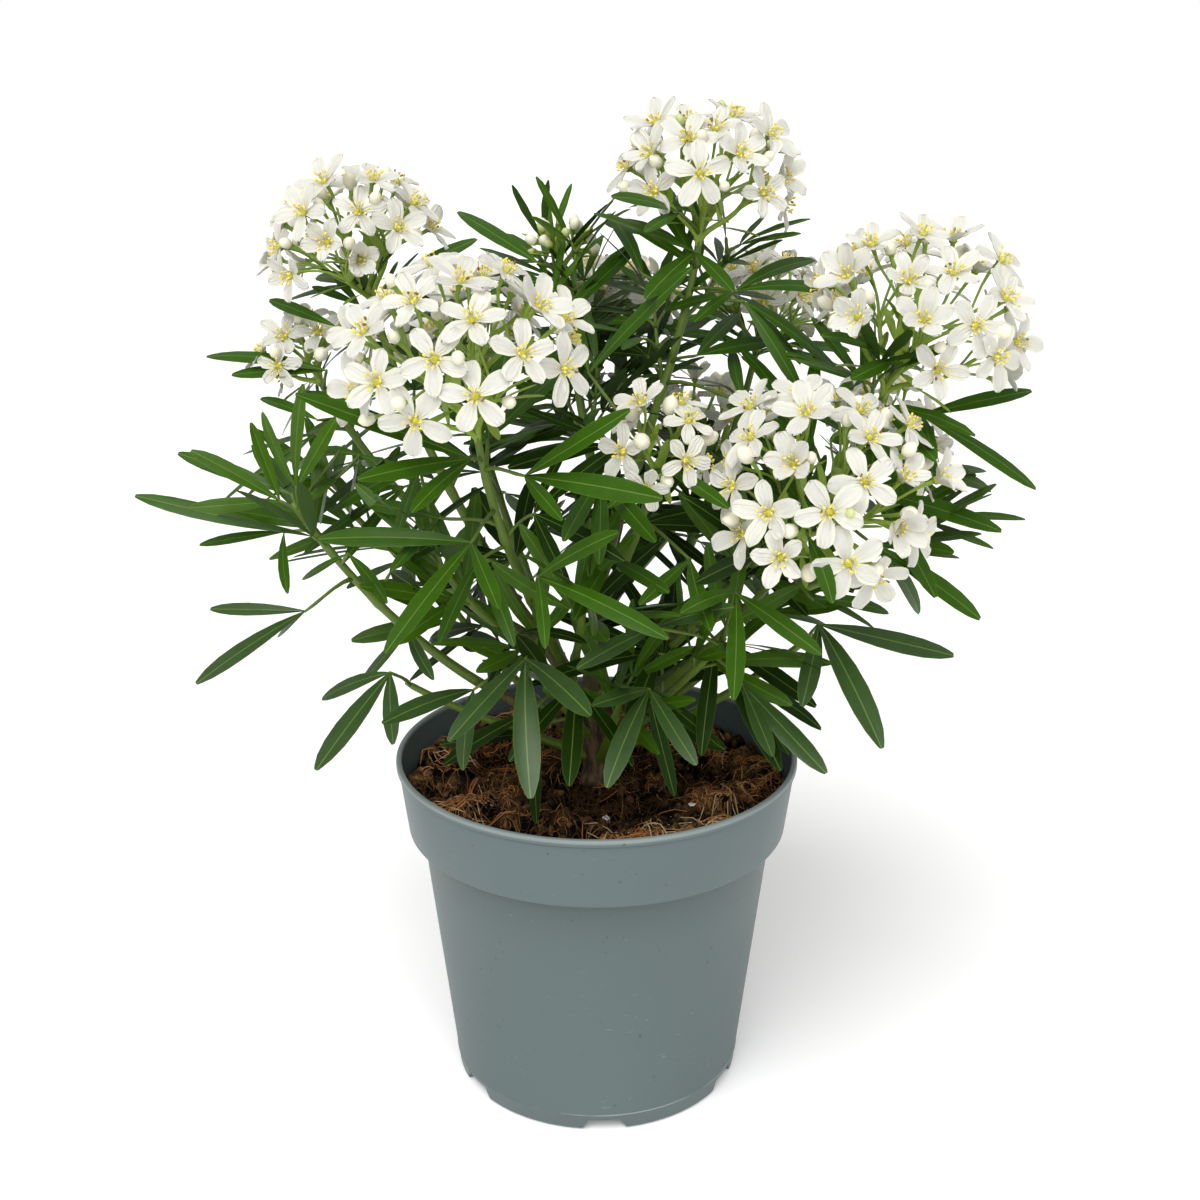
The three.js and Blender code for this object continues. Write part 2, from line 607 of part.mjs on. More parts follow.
// The soil fills the pot, with a lumpy top that is flat under the trunk
function soilSolid() {
  const { inner, slope, depth } = FOOT_CHANNEL;
  const shoulder = POT_HEIGHT - COLLAR_HEIGHT + WALL;
  const edge = SOIL_LEVEL - SOIL_EDGE_DROP;
  const rings = [
    [0, WALL + GAP],
    [inner - slope - 2 * GAP, WALL + GAP],
    [inner - GAP, depth + WALL + GAP],
    [insideRadius(depth + WALL) - GAP, depth + WALL + GAP],
    [insideRadius(shoulder) - GAP, shoulder],
    [insideRadius(shoulder) - GAP, shoulder + GAP],
    [COLLAR_RADIUS - WALL - GAP, shoulder + GAP],
    [insideRadius(edge) - GAP, edge],
    ...SOIL_RINGS.map((radius) => [radius, SOIL_LEVEL]),
    [SOIL_FLAT, SOIL_LEVEL],
    [0, SOIL_LEVEL],
  ];
  const lathe = new THREE.LatheGeometry(rings.map(([r, z]) => new THREE.Vector2(r, z)), POT_SIDES);
  const position = lathe.attributes.position;
  for (let i = 0; i < position.count; i += 1) {
    const reach = Math.hypot(position.getX(i), position.getZ(i));
    if (position.getY(i) === SOIL_LEVEL && reach > SOIL_FLAT + GAP) {
      const turn = Math.atan2(position.getZ(i), position.getX(i));
      const lump = Math.sin(5 * turn + 0.1 * reach) + Math.sin(11 * turn - 0.3 * reach) - 1;
      position.setY(i, SOIL_LEVEL + SOIL_LUMP * lump);
    }
  }
  lathe.rotateX(Math.PI / 2);
  return toSolid(lathe);
}

// Assembly

const pottedPlant = new THREE.Group();
const plant = new THREE.Group();
plant.position.z = SOIL_LEVEL;
pottedPlant.add(plant);

const vessels = [['pot', potSolid(), potPlastic], ['soil', soilSolid(), soilFinish]];
for (const [name, solid, material] of vessels) {
  pottedPlant.add(named(name, solid, material));
  stand(name, toSolid(toGeometry(solid).translate(0, 0, -SOIL_LEVEL)));
}

const trunk = trunkCurve();
const trunkOf = (radiusAt) => toSolid(limbGeometry(trunk, radiusAt, TRUNK_SIDES, TRUNK_STEPS));
const trunkRoom = trunkOf((t) => trunkRadius(t) + TRUNK_GAP);
const trunkSolid = trunkOf(trunkRadius);
const limbs = { trunk: { curve: trunk, room: trunkRoom } };
stand('trunk', trunkSolid);
plant.add(named('trunk', trunkSolid, bark));

// Boughs first, each cut clear of the limb that it leaves
for (const shoot of SHOOTS) {
  const limb = grow(shoot, limbs);
  limbs[shoot.name] = limb;
  const onTop = shoot.from === 'trunk' && shoot.at === 1;
  const clear = (solid) => (onTop ? solid : mainBody(solid.subtract(limbs[shoot.from].room)));
  if (shoot.bare > 0) {
    const foot = new Stretch(limb.curve, 0, shoot.bare);
    const thickness = (t) => limb.radiusAt(t * shoot.bare);
    limb.room = toSolid(limbGeometry(foot, (t) => thickness(t) + BOUGH_GAP, BOUGH_SIDES, BOUGH_STEPS));
    const bough = clear(toSolid(limbGeometry(foot, thickness, BOUGH_SIDES, BOUGH_STEPS)));
    stand(`bough_${shoot.name}`, bough);
    plant.add(named(`bough_${shoot.name}`, bough, bark));
  }
  const stemStart = shoot.bare > 0 ? shoot.bare + GAP / limb.curve.getLength() : 0;
  const stem = new Stretch(limb.curve, stemStart, 1);
  const stemRadius = (t) => limb.radiusAt(mix(shoot.bare, 1, t));
  const stemSolid = toSolid(limbGeometry(stem, stemRadius, TWIG_SIDES, TWIG_STEPS));
  limb.stem = shoot.bare > 0 ? stemSolid : clear(stemSolid);
}

const masses = SHOOTS.map((shoot) => {
  const { stem, flowers, leaves } = limbs[shoot.name];
  const owner = `foliage_${shoot.name}`;
  stand(owner, stem);
  return { owner, flowers, leaves, solids: [stem] };
});

// Then every second flower, and the leaves: those of the crown's edge, the top pair of every shoot,
// and so on down. One that comes too near another piece is left out.
for (const { owner, flowers, solids } of masses) {
  for (const flower of flowers.filter((each, i) => i % 2 === 0)) {
    addIfFree(owner, solids, (room) => flowerSolids(flower, room));
  }
}

const mostLeaves = Math.max(...masses.map(({ leaves }) => leaves.length));
for (let turn = 0; turn < mostLeaves; turn += 1) {
  for (const { owner, leaves, solids } of masses) {
    const plan = leaves[turn];
    if (plan) {
      addIfFree(owner, solids, (room) => leafSolids(plan, room));
    }
  }
}

for (const { owner, solids } of masses) {
  plant.add(named(owner, fuse(solids), leafAndBlossom));
}

export default pottedPlant;
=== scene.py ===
# A potted mexican orange blossom: a shrub with narrow leaflets in threes and fives and domed heads of
# white blossom, in a plastic nursery pot filled with coir compost.
# Meshes are in metres, +Z up, with the origin at the centre of the pot's underside. The plant's growth is
# worked out in millimetres above the compost, and azimuths turn from +X towards +Y.

import json
import math
from dataclasses import dataclass
from functools import lru_cache
from itertools import combinations

import bpy
import numpy as np
from bpy.props import FloatProperty, FloatVectorProperty, IntProperty, PointerProperty
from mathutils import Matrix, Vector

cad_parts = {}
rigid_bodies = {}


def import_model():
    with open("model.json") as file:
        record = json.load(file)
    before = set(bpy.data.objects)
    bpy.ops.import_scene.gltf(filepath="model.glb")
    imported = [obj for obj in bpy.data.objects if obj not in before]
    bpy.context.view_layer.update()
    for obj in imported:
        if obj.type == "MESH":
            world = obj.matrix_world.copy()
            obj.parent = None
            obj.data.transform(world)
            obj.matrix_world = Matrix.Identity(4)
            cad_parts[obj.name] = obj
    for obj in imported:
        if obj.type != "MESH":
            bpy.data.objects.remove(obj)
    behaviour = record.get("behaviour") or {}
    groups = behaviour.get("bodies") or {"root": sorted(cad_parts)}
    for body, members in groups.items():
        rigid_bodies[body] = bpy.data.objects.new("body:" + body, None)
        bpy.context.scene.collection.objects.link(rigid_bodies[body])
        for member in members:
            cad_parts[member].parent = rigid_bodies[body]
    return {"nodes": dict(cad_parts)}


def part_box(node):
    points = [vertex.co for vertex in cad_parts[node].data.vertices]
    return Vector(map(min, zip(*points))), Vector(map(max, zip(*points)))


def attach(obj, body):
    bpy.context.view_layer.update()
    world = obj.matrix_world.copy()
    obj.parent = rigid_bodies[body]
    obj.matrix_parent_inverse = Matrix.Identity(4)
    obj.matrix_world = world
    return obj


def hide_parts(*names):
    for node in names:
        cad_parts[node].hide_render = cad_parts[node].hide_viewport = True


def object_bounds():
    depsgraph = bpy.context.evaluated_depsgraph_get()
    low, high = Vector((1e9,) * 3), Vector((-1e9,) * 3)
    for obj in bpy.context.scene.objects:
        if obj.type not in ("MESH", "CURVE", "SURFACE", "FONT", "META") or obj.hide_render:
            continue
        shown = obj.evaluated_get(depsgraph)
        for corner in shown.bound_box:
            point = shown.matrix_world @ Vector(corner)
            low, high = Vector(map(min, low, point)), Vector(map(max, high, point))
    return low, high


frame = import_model()
CAD_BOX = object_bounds()

bl_info = {
    "name": "Potted Mexican Orange Blossom",
    "version": (1, 0, 0),
    "blender": (4, 5, 0),
    "location": "View3D > Sidebar > Orange Blossom",
    "description": "Builds a flowering shrub in its nursery pot, and a studio round it",
    "category": "Object",
}

MM = 0.001
UP = np.array([0.0, 0.0, 1.0])
NORTH = np.array([0.0, 1.0, 0.0])
POT_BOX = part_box("pot")
FOLIAGE_NODES = [name for name in sorted(frame["nodes"]) if name.startswith("foliage_")]
BOUGH_NODES = [name for name in sorted(frame["nodes"]) if name.startswith("bough_")]


# Settings

def linear(red, green, blue):
    """A screen colour, 0 to 255, as the light that it stands for."""
    shares = [part / 255 for part in (red, green, blue)]
    return tuple(s / 12.92 if s <= 0.04045 else ((s + 0.055) / 1.055) ** 2.4 for s in shares)


def size(name, description, default):
    """A length, in metres."""
    return FloatProperty(name=name, description=description, default=default, min=0.0, precision=5,
                         subtype="DISTANCE", unit="LENGTH")


def share(name, description, default):
    """A share or a strength."""
    return FloatProperty(name=name, description=description, default=default, min=0.0, subtype="FACTOR")


def turn(name, description, default):
    """An angle. Its default is given in degrees."""
    return FloatProperty(name=name, description=description, default=math.radians(default),
                         subtype="ANGLE", unit="ROTATION")


def tint(name, description, red, green, blue):
    """A colour. Its default is given as a screen colour."""
    return FloatVectorProperty(name=name, description=description, default=linear(red, green, blue),
                               min=0.0, max=1.0, size=3, subtype="COLOR")


class PotSettings(bpy.types.PropertyGroup):
    """Sizes and colours of the nursery pot."""

    height: size("Height", "Height of the pot", POT_BOX[1].z)
    lip_radius: size("Lip radius", "Outer radius of the lip", POT_BOX[1].x)
    lip_height: size("Lip height", "Height of the rolled lip", 0.003)
    lip_width: size("Lip width", "Width of the rolled lip, seen from above", 0.0024)
    collar_top: size("Collar top", "Outer radius of the collar under the lip", 0.084)
    collar_foot: size("Collar foot", "Outer radius of the collar at its lower edge", 0.0805)
    collar_height: size("Collar height", "Height of the collar with its lip", 0.0311)
    waist: size("Waist", "Outer radius of the body under the collar", 0.075)
    foot: size("Foot", "Outer radius of the foot", 0.0618)
    wall: size("Wall", "Thickness of the wall", 0.0016)
    mould_line: size("Mould line", "Height of the line that the mould left near the foot", 0.0072)
    colour: tint("Colour", "Moulded blue-grey plastic", 84, 98, 99)
    # The body's colour is the collar's plastic made a little darker: painted shade, as the body gets less
    # light than the collar.
    shaded_body_colour: tint("Body colour", "The same plastic under the collar", 80, 94, 94)
    # The worn colour is real scuffing and dust on the pot, and it also paints the highlight on the lip's top.
    worn_and_lip_highlight_colour: tint("Worn colour", "Where the plastic is scuffed", 158, 168, 164)


class CompostSettings(bpy.types.PropertyGroup):
    """The compost that fills the pot."""

    level: size("Level", "Height of the compost", 0.133)
    hollows: size("Hollows", "Depth of the hollows in its surface", 0.0042)
    fibres: IntProperty(name="Fibres", description="Short curled coir fibres", default=3400, min=0)
    strands: IntProperty(name="Strands", description="Long pale strands", default=150, min=0)
    crumbs: IntProperty(name="Crumbs", description="Crumbs of bark and peat", default=1300, min=0)
    perlite: IntProperty(name="Perlite", description="White grains", default=12, min=2)
    # Dark is the peat's own colour, and it is also painted as shade in the hollows and round the trunk.
    dark: tint("Dark", "Moist peat in the hollows", 18, 10, 4)
    brown: tint("Brown", "Coir", 198, 148, 97)
    pale: tint("Pale", "Dry strands", 214, 190, 150)


class StemSettings(bpy.types.PropertyGroup):
    """The trunk, the boughs and the green stems."""

    relief: size("Relief", "Depth of the furrows in the bark", 0.0005)
    bark: tint("Bark", "Woody foot of the plant", 104, 82, 56)
    furrow: tint("Furrow", "The bark's furrows", 58, 42, 28)
    olive: tint("Olive", "Where bark gives way to green wood", 84, 94, 30)
    green: tint("Green", "Green stems and leaf stalks", 86, 110, 28)
    slim: share("Slimness", "Thickness of the boughs and stems, of their solids' thickness", 0.84)


class LeafSettings(bpy.types.PropertyGroup):
    """The leaflets."""

    width: share("Width", "Width of a leaflet, of its length", 0.158)
    rib: size("Rib", "Width of the midrib", 0.00038)
    margin: share("Margin", "Pale edge, of half the leaflet's width", 0.07)
    thickness: size("Thickness", "Thickness at the midrib", 0.0004)
    fold: turn("Fold", "How far each half is folded up along the midrib", 13)
    twigs: share("Twigs", "Share of leaf axils that bear a small leafy twig", 0.18)
    # This darkest tone is also painted shade, dealt to leaves deep inside the crown.
    old: tint("Old leaf", "Upper face of an old leaf", 28, 50, 8)
    grown: tint("Grown leaf", "Upper face of a grown leaf", 50, 86, 8)
    young: tint("Young leaf", "Upper face of a young leaf", 62, 98, 12)
    # The low tone is lighter and greyer: partly the tone of low outer leaves, partly a painted sheen.
    low: tint("Low leaf", "Upper face of a low, outer leaf", 49, 74, 31)
    line: tint("Midrib", "Midrib", 128, 156, 74)
    glow: tint("Glow", "Light that comes through a leaf", 96, 138, 22)
    under: tint("Underside", "Lower face of every leaf", 48, 74, 20)


class BlossomSettings(bpy.types.PropertyGroup):
    """Flowers and buds."""

    petal_length: size("Petal length", "Length of a petal", 0.012)
    petal_width: size("Petal width", "Width of a petal at its widest", 0.007)
    cup: turn("Cup", "How far the petals stand up from flat", 24)
    stamens: IntProperty(name="Stamens", description="Stamens in each flower", default=9, min=0)
    stamen_length: size("Stamen length", "Length of a stamen", 0.0042)
    bud_length: size("Bud length", "Length of a bud that is about to open", 0.0082)
    petal: tint("Petal", "Petals in full bloom", 230, 229, 223)
    petal_veil: share("Petal veil", "Share of the light that comes through a petal", 0.32)
    pleats: size("Pleats", "Depth of the veins along a petal", 0.00028)
    # The petals' back is a little lighter than their front: painted light that lifts the shaded undersides.
    brightened_petal_back: tint("Petal back", "Outer face of the petals", 236, 235, 221)
    bud: tint("Bud", "Buds", 232, 227, 204)
    bud_green: tint("Green bud", "Buds that are still small", 196, 204, 138)
    filament: tint("Filament", "Stamen stalks", 238, 232, 158)
    anther: tint("Anther", "Anthers full of pollen", 240, 220, 104)
    anther_dry: tint("Dry anther", "Anthers that are spent", 132, 94, 44)
    heart: tint("Heart", "Middle of the flower", 196, 190, 66)
    stalk: tint("Stalk", "Flower stalks and bracts", 134, 160, 56)


class StageSettings(bpy.types.PropertyGroup):
    """The floor, the light and the camera."""

    floor_size: size("Floor", "Side of the floor", 60.0)
    floor_colour: tint("Floor colour", "Pale floor", 250, 250, 249)
    sky: share("Sky", "Strength of the even light from all round", 0.38)
    key: share("Key", "Strength of the key light", 2.55)
    key_softness: turn("Key softness", "How wide the key light is, as seen from the plant", 48)
    fill: share("Fill", "Strength of the low light from the front", 0.95)
    fill_softness: turn("Fill softness", "How wide the fill light is, as seen from the plant", 60)
    dome: share("Dome", "Strength of the broad light from overhead", 0.5)
    dome_softness: turn("Dome softness", "How wide the overhead light is, as seen from the plant", 130)
    lens: FloatProperty(name="Lens", description="Focal length", default=49.8, unit="CAMERA")
    pitch: turn("Pitch", "How far the camera looks down", 19)
    distance: size("Distance", "From the pot's middle to the camera", 0.648)
    camera_height: size("Camera height", "Height of the camera", 0.4367)
    camera_side: size("Camera side", "How far the camera stands to the right", 0.0014)


class OrangeBlossomSettings(bpy.types.PropertyGroup):
    """All the settings, by sub-part."""

    pot: PointerProperty(type=PotSettings)
    compost: PointerProperty(type=CompostSettings)
    stem: PointerProperty(type=StemSettings)
    leaf: PointerProperty(type=LeafSettings)
    blossom: PointerProperty(type=BlossomSettings)
    stage: PointerProperty(type=StageSettings)


# Directions and curves

def mix(low, high, at):
    """What lies a share of the way from low to high."""
    return low + (high - low) * at


def unit(vectors):
    """The same directions, one unit long."""
    return vectors / np.linalg.norm(vectors, axis=-1, keepdims=True)


def heading(azimuth, climb):
    """A direction, by its azimuth and climb in degrees."""
    around, rise = math.radians(azimuth), math.radians(climb)
    return np.array([math.cos(rise) * math.cos(around), math.cos(rise) * math.sin(around), math.sin(rise)])


def place(azimuth, reach, height):
    """A point, by its azimuth in degrees, its reach and its height."""
    point = reach * heading(azimuth, 0)
    point[2] = height
    return point


def across(axis):
    """Two directions square to an axis, or to each of many, the second a quarter turn on about it."""
    steep = np.abs(axis[..., 2:]) > 0.99
    first = unit(np.cross(np.where(steep, NORTH, UP), axis))
    return first, np.cross(axis, first)


def on_cone(axis, around, climb):
    """A direction at a turn round an axis that climbs towards it, both in degrees."""
    first, second = across(axis)
    out = math.cos(math.radians(around)) * first + math.sin(math.radians(around)) * second
    return math.cos(math.radians(climb)) * out + math.sin(math.radians(climb)) * axis


def cubic(t, a, b, c, d):
    """Points of a cubic curve with four control points."""
    return (1 - t) ** 3 * a + 3 * (1 - t) ** 2 * t * b + 3 * (1 - t) * t * t * c + t ** 3 * d


class Curve:
    """A cubic curve through space from its first control point to its last."""

    def __init__(self, *controls):
        self.controls = np.array(controls, float)
        steps = self.point(np.linspace(0, 1, 201))
        self.length = np.linalg.norm(np.diff(steps, axis=0), axis=1).sum()

    def point(self, at):
        """The point, or points, at shares of the way along."""
        return cubic(np.asarray(at, float)[..., None], *self.controls)

    def tangent(self, at):
        """The direction at a share of the way along."""
        return unit(self.point(min(1.0, at + 1e-4)) - self.point(max(0.0, at - 1e-4)))


class Dice:
    """Seeded draws, the same as in the plant's solids."""

    RANGE = 2 ** 32

    def __init__(self, seed):
        self.state = (seed * 7919 + 12345) % self.RANGE

    def next(self):
        """The next draw, from 0 to 1."""
        self.state = (self.state * 1664525 + 1013904223) % self.RANGE
        return self.state / self.RANGE

    def around(self, middle, spread):
        """A draw that strays from a middle value by up to its spread."""
        return middle + spread * (2 * self.next() - 1)


# Growth, by the rule of the plant's solids

@dataclass
class Bloom:
    """A head of flowers: how many, the dome's radius, and its axis. opened is the share in flower."""

    flowers: int
    spread: float
    axis: tuple
    opened: float = 1.0


@dataclass
class Shoot:
    """One stem from its parent to its tip.

    at: how far along the parent it leaves. tip: azimuth, reach and height. climb: the stem's climb
    where it leaves and where it arrives. bare: the share of it that is a bare bough. pairs: its leaf
    pairs. roll: the turn of the top pair. scale: leaf size. lift: how much steeper its leaves stand.
    neck: how much lower than usual its top pair is. shed: the share of it that has lost its leaves.
    """

    name: str
    parent: str
    at: float
    tip: tuple
    climb: tuple
    bare: float
    pairs: int
    roll: float
    bloom: Bloom = None
    scale: float = 1.0
    lift: float = 0.0
    neck: float = 0.0
    shed: float = 0.0


SHOOTS = [
    Shoot("top", "trunk", 1, (14, 42, 232), (90, 84), 0.38, 5, 20, Bloom(22, 31, (30, 84)), neck=11),
    Shoot("left_front", "trunk", 0.57, (237, 80, 174), (62, 80), 0.26, 6, 35, Bloom(26, 38, (235, 74))),
    Shoot("left_back", "trunk", 0.63, (157, 102, 204), (56, 76), 0.36, 6, 60, Bloom(22, 33, (184, 72))),
    Shoot("right_top", "trunk", 0.66, (353, 116, 179), (52, 70), 0.34, 6, 75, Bloom(26, 38, (350, 70)),
          shed=0.6),
    Shoot("right_front", "trunk", 0.41, (329, 94, 127), (45, 62), 0.26, 5, 50, Bloom(26, 38, (285, 54))),
    Shoot("back_middle", "trunk", 0.59, (84, 92, 174), (60, 78), 0.34, 5, 30, Bloom(16, 25, (88, 76))),
    Shoot("back_right", "trunk", 0.37, (46, 102, 176), (52, 72), 0.36, 5, 80, Bloom(16, 26, (50, 72))),
    Shoot("back_left", "trunk", 0.41, (120, 116, 150), (45, 66), 0.32, 5, 45, Bloom(18, 28, (118, 64))),
    Shoot("left_leafy", "trunk", 0.5, (190, 121, 128), (22, 58), 0.34, 6, 80, scale=1.04, shed=0.6),
    Shoot("centre", "top", 0.16, (296, 50, 150), (50, 74), 0.24, 5, 60, Bloom(8, 18, (290, 55))),
    Shoot("bud_top", "top", 0.3, (108, 45, 213), (62, 80), 0.26, 5, 10, Bloom(5, 13, (100, 78), 0.0),
          lift=22),
    Shoot("left_side", "left_back", 0.28, (161, 124, 166), (35, 60), 0.26, 4, 20, Bloom(8, 18, (175, 60)),
          shed=0.5),
    Shoot("back_low_right", "back_middle", 0.25, (65, 124, 114), (30, 58), 0.3, 4, 40,
          Bloom(16, 26, (62, 55))),
    Shoot("right_back", "back_right", 0.28, (28, 136, 128), (30, 60), 0.3, 4, 70, Bloom(12, 23, (25, 55)),
          shed=0.75),
    Shoot("right_leafy", "right_top", 0.26, (2, 130, 114), (28, 52), 0.3, 5, 60, shed=0.8),
    Shoot("back_left_leafy", "back_left", 0.22, (148, 138, 106), (30, 48), 0.3, 5, 30, shed=0.55),
    Shoot("inner_left", "left_front", 0.12, (208, 70, 108), (46, 60), 0, 4, 20),
    Shoot("inner_front", "left_front", 0.2, (266, 60, 104), (30, 60), 0, 4, 70),
    Shoot("inner_right", "right_top", 0.14, (344, 68, 112), (40, 62), 0, 4, 40),
    Shoot("low_left", "trunk", 0.2, (198, 81, 54), (30, 36), 0, 3, 85, shed=1.0),
    Shoot("low_front_left", "trunk", 0.43, (238, 48, 74), (42, 60), 0, 3, 60),
    Shoot("low_front", "trunk", 0.15, (285, 44, 58), (40, 50), 0, 2, 50),
    Shoot("low_front_right", "trunk", 0.29, (315, 70, 82), (42, 50), 0, 3, 60),
    Shoot("low_right", "trunk", 0.18, (338, 92, 78), (34, 45), 0, 3, 20, shed=1.0),
    Shoot("low_back_right", "trunk", 0.18, (28, 96, 70), (34, 45), 0, 3, 60, shed=0.7),
    Shoot("low_back", "trunk", 0.18, (88, 100, 66), (32, 45), 0, 3, 20),
    Shoot("low_back_left", "trunk", 0.18, (140, 92, 66), (32, 45), 0, 3, 70),
]

# Leaves that the crown shows apart: the hub's azimuth, reach and height, and each leaflet's azimuth,
# climb and length
SHOWN_LEAVES = [
    ((241, 92, 130), (242, -20, 58), (286, -14, 40), (172, 4, 58)),
    ((256, 86, 118), (314, 0, 58), (314, 38, 44), (278, -18, 34)),
    ((248, 71, 80), (270, -30, 56), (240, -12, 48), (302, -2, 48)),
    ((288, 65, 66), (244, -24, 46), (290, -16, 40), (240, 14, 36)),
    ((290, 66, 91), (232, 4, 40), (308, 32, 40)),
    ((209, 92, 66), (244, -18, 54), (158, -18, 38), (274, -14, 36)),
    ((232, 76, 65), (230, 10, 44), (262, -18, 38)),
    ((199, 102, 111), (304, -10, 36), (150, -28, 32)),
    ((206, 82, 80), (286, -12, 30), (172, -46, 34)),
    ((239, 86, 159), (206, 26, 66), (230, 8, 48), (244, -6, 42)),
    ((253, 86, 155), (324, 4, 56), (318, 32, 50), (290, -6, 34)),
    ((174, 99, 200), (152, -20, 46), (154, 12, 50)),
    ((172, 84, 208), (44, 20, 50), (66, -8, 44)),
    ((128, 38, 214), (108, 38, 50), (132, 32, 56), (138, 22, 54)),
    ((18, 19, 213), (140, 28, 58), (104, 32, 48)),
    ((351, 38, 223), (226, 22, 50), (246, -8, 50), (284, -6, 42)),
    ((0, 37, 237), (124, 10, 46)),
    ((263, 24, 180), (308, 42, 64), (100, 32, 48)),
    ((127, 30, 211), (76, 26, 36), (62, 28, 46)),
    ((337, 61, 169), (98, 24, 40), (246, -2, 40)),
    ((346, 40, 184), (62, 18, 44), (42, 4, 46)),
    ((350, 127, 163), (0, -26, 58), (16, 12, 48), (272, -10, 34)),
    ((349, 116, 185), (242, 4, 38), (48, -18, 38), (226, 28, 42)),
    ((358, 134, 136), (46, -4, 42), (38, -12, 44)),
    ((344, 112, 114), (22, -8, 44), (358, -30, 56), (24, -44, 48)),
    ((323, 101, 102), (30, -10, 42)),
    ((314, 109, 132), (280, -14, 40)),
    ((308, 84, 106), (268, -26, 50), (304, -8, 46), (244, 18, 44)),
    ((180, 87, 158), (142, 8, 52), (148, -12, 44)),
    ((191, 102, 148), (130, -48, 42), (138, -12, 36)),
    ((185, 94, 144), (118, -56, 44), (138, 0, 44), (306, 2, 36)),
    ((204, 74, 144), (154, -18, 50), (262, -14, 40)),
    ((220, 77, 130), (254, -6, 40), (142, 2, 44)),
    ((175, 113, 154), (138, 10, 40)),
    ((272, 50, 145), (252, -8, 44), (294, -12, 44), (270, -22, 40)),
    ((276, 50, 114), (252, -8, 40), (296, 6, 40)),
    ((302, 66, 116), (244, -4, 40), (272, -14, 44)),
    ((188, 125, 115), (176, 14, 62), (168, -8, 40), (274, -22, 36)),
    ((189, 121, 131), (172, 20, 50)),
    ((197, 119, 88), (168, -2, 42), (230, -10, 54), (152, -38, 24)),
    ((316, 78, 65), (306, -22, 50), (288, -26, 36)),
    ((328, 100, 89), (286, -16, 60), (4, -14, 58), (258, -24, 40)),
    ((356, 54, 208), (42, 20, 50), (24, 8, 58), (240, -4, 34)),
    ((356, 57, 204), (18, -28, 56), (312, -38, 40)),
    ((297, 56, 150), (300, -4, 40), (238, -4, 34)),
    ((172, 105, 191), (146, 14, 44), (144, -10, 40)),
    ((145, 18, 194), (42, 34, 50), (128, 16, 40)),
    ((234, 74, 117), (254, -16, 44), (294, -24, 40)),
    ((169, 112, 172), (164, 12, 60), (160, -2, 46)),
    ((342, 33, 238), (236, 20, 42), (246, 0, 34)),
]
SHOWN_LEAF_ROOM = 23
SHOWN_LOW = 95
SHOWN_RISE = 6

TRUNK_HEIGHT = 42
TRUNK_RADIUS = (5.4, 4.6)
TRUNK_FOOT_RADIUS = 8
TRUNK_FLARE = 0.22
TRUNK_TOP = place(205, 3, TRUNK_HEIGHT)
STEM_TIP_RADIUS = 1.4
STEM_FOOT_RADIUS = (1.7, 2.9)
LONGEST_STEM = 190
STEM_HOLD = 0.36

# Leaf pairs, from a shoot's top down
BELOW_BLOOM = 7
BELOW_TIP = 4
PAIR_SPACE = 19
PAIR_GROWTH = 7
PAIR_SCATTER = 3
PAIR_TWIST = 14
BARE_MARGIN = 0.04
YOUNG_PAIRS = 2
THREES = 0.8
YOUNG_GROWTH = 9

# Measures of a leaf: on the top pair, on the lowest, on a young pair, and how far they stray
LEAF_CLIMB = (34, 20, 60, 7)
LEAF_LENGTH = (47, 54, 36, 5)
LEAF_STALK = (14, 19, 9, 2)
LEAF_SINK = (0.22, 0.5, 0.05, 0.12)

# Small leafy twigs: where their leaf pairs stand, and the heights where twigs start and are common
TWIG_PAIRS = (0.98, 0.72, 0.44)
TWIG_ZONE = (75, 145)

# A flower head's dome, in shares of its spread
GOLDEN_ANGLE = 137.508
DOME_RAISE = 0.52
DOME_PAST = 1.22
DOME_FLATTEN = 0.16
DOME_ROOTS = 0.35
DOME_LIFT = 0.3
FRONT_AXIS = 0.15
RAYS_PAST = 1.05
RUFF_LEAVES = 6
RUFF_LENGTH = 0.72
PETALS = 5
WIDEST_HEAD = 38
SMALLEST_FLOWER = 0.65

# Height over reach under which the crown is thin
SKIRT = 0.8
SKIRT_SHARE = 0.34

# Leaf tones
# The first tone stands partly for age and partly for painted shade deep in the crown.
OLD_AND_SHADED, GROWN, YOUNG, LOW = range(4)


@dataclass
class Leaf:
    """A leaf: stalk from root to hub, and leaflets that spread from the hub like fingers. aims gives the
    leaflets of a shown leaf one by one."""

    root: np.ndarray
    hub: np.ndarray
    toward: np.ndarray
    length: float
    leaflets: int
    tone: int
    fan: float = 37.0
    edge: bool = False
    aims: tuple = ()


@dataclass
class Stem:
    """A grown shoot: its curve, its radius at the foot, its leaves, their axils and its flowers."""

    shoot: Shoot
    curve: Curve
    foot_radius: float
    leaves: list
    axils: list
    flowers: list

    def radius(self, at):
        """The stem's radius at a share of the way along."""
        return mix(self.foot_radius, STEM_TIP_RADIUS, at)


@dataclass
class Flower:
    """One flower or bud: its middle, the way it faces, its turn, where its stalk leaves the stem, and its
    size beside the usual."""

    spot: np.ndarray
    face: np.ndarray
    twist: float
    root: np.ndarray
    opened: bool = True
    scale: float = 1.0


def trunk_curve():
    """The trunk's line, upright at its foot and leaning to the left above."""
    above = TRUNK_TOP.copy()
    above[2] = TRUNK_HEIGHT * (1 - STEM_HOLD)
    return Curve((0, 0, 0), (0, 0, TRUNK_HEIGHT * STEM_HOLD), above, TRUNK_TOP)


def trunk_radius(at):
    """The trunk's radius, with the flare at its foot."""
    flare = np.maximum(0, 1 - at / TRUNK_FLARE) ** 2
    return mix(*TRUNK_RADIUS, at) + (TRUNK_FOOT_RADIUS - TRUNK_RADIUS[0]) * flare


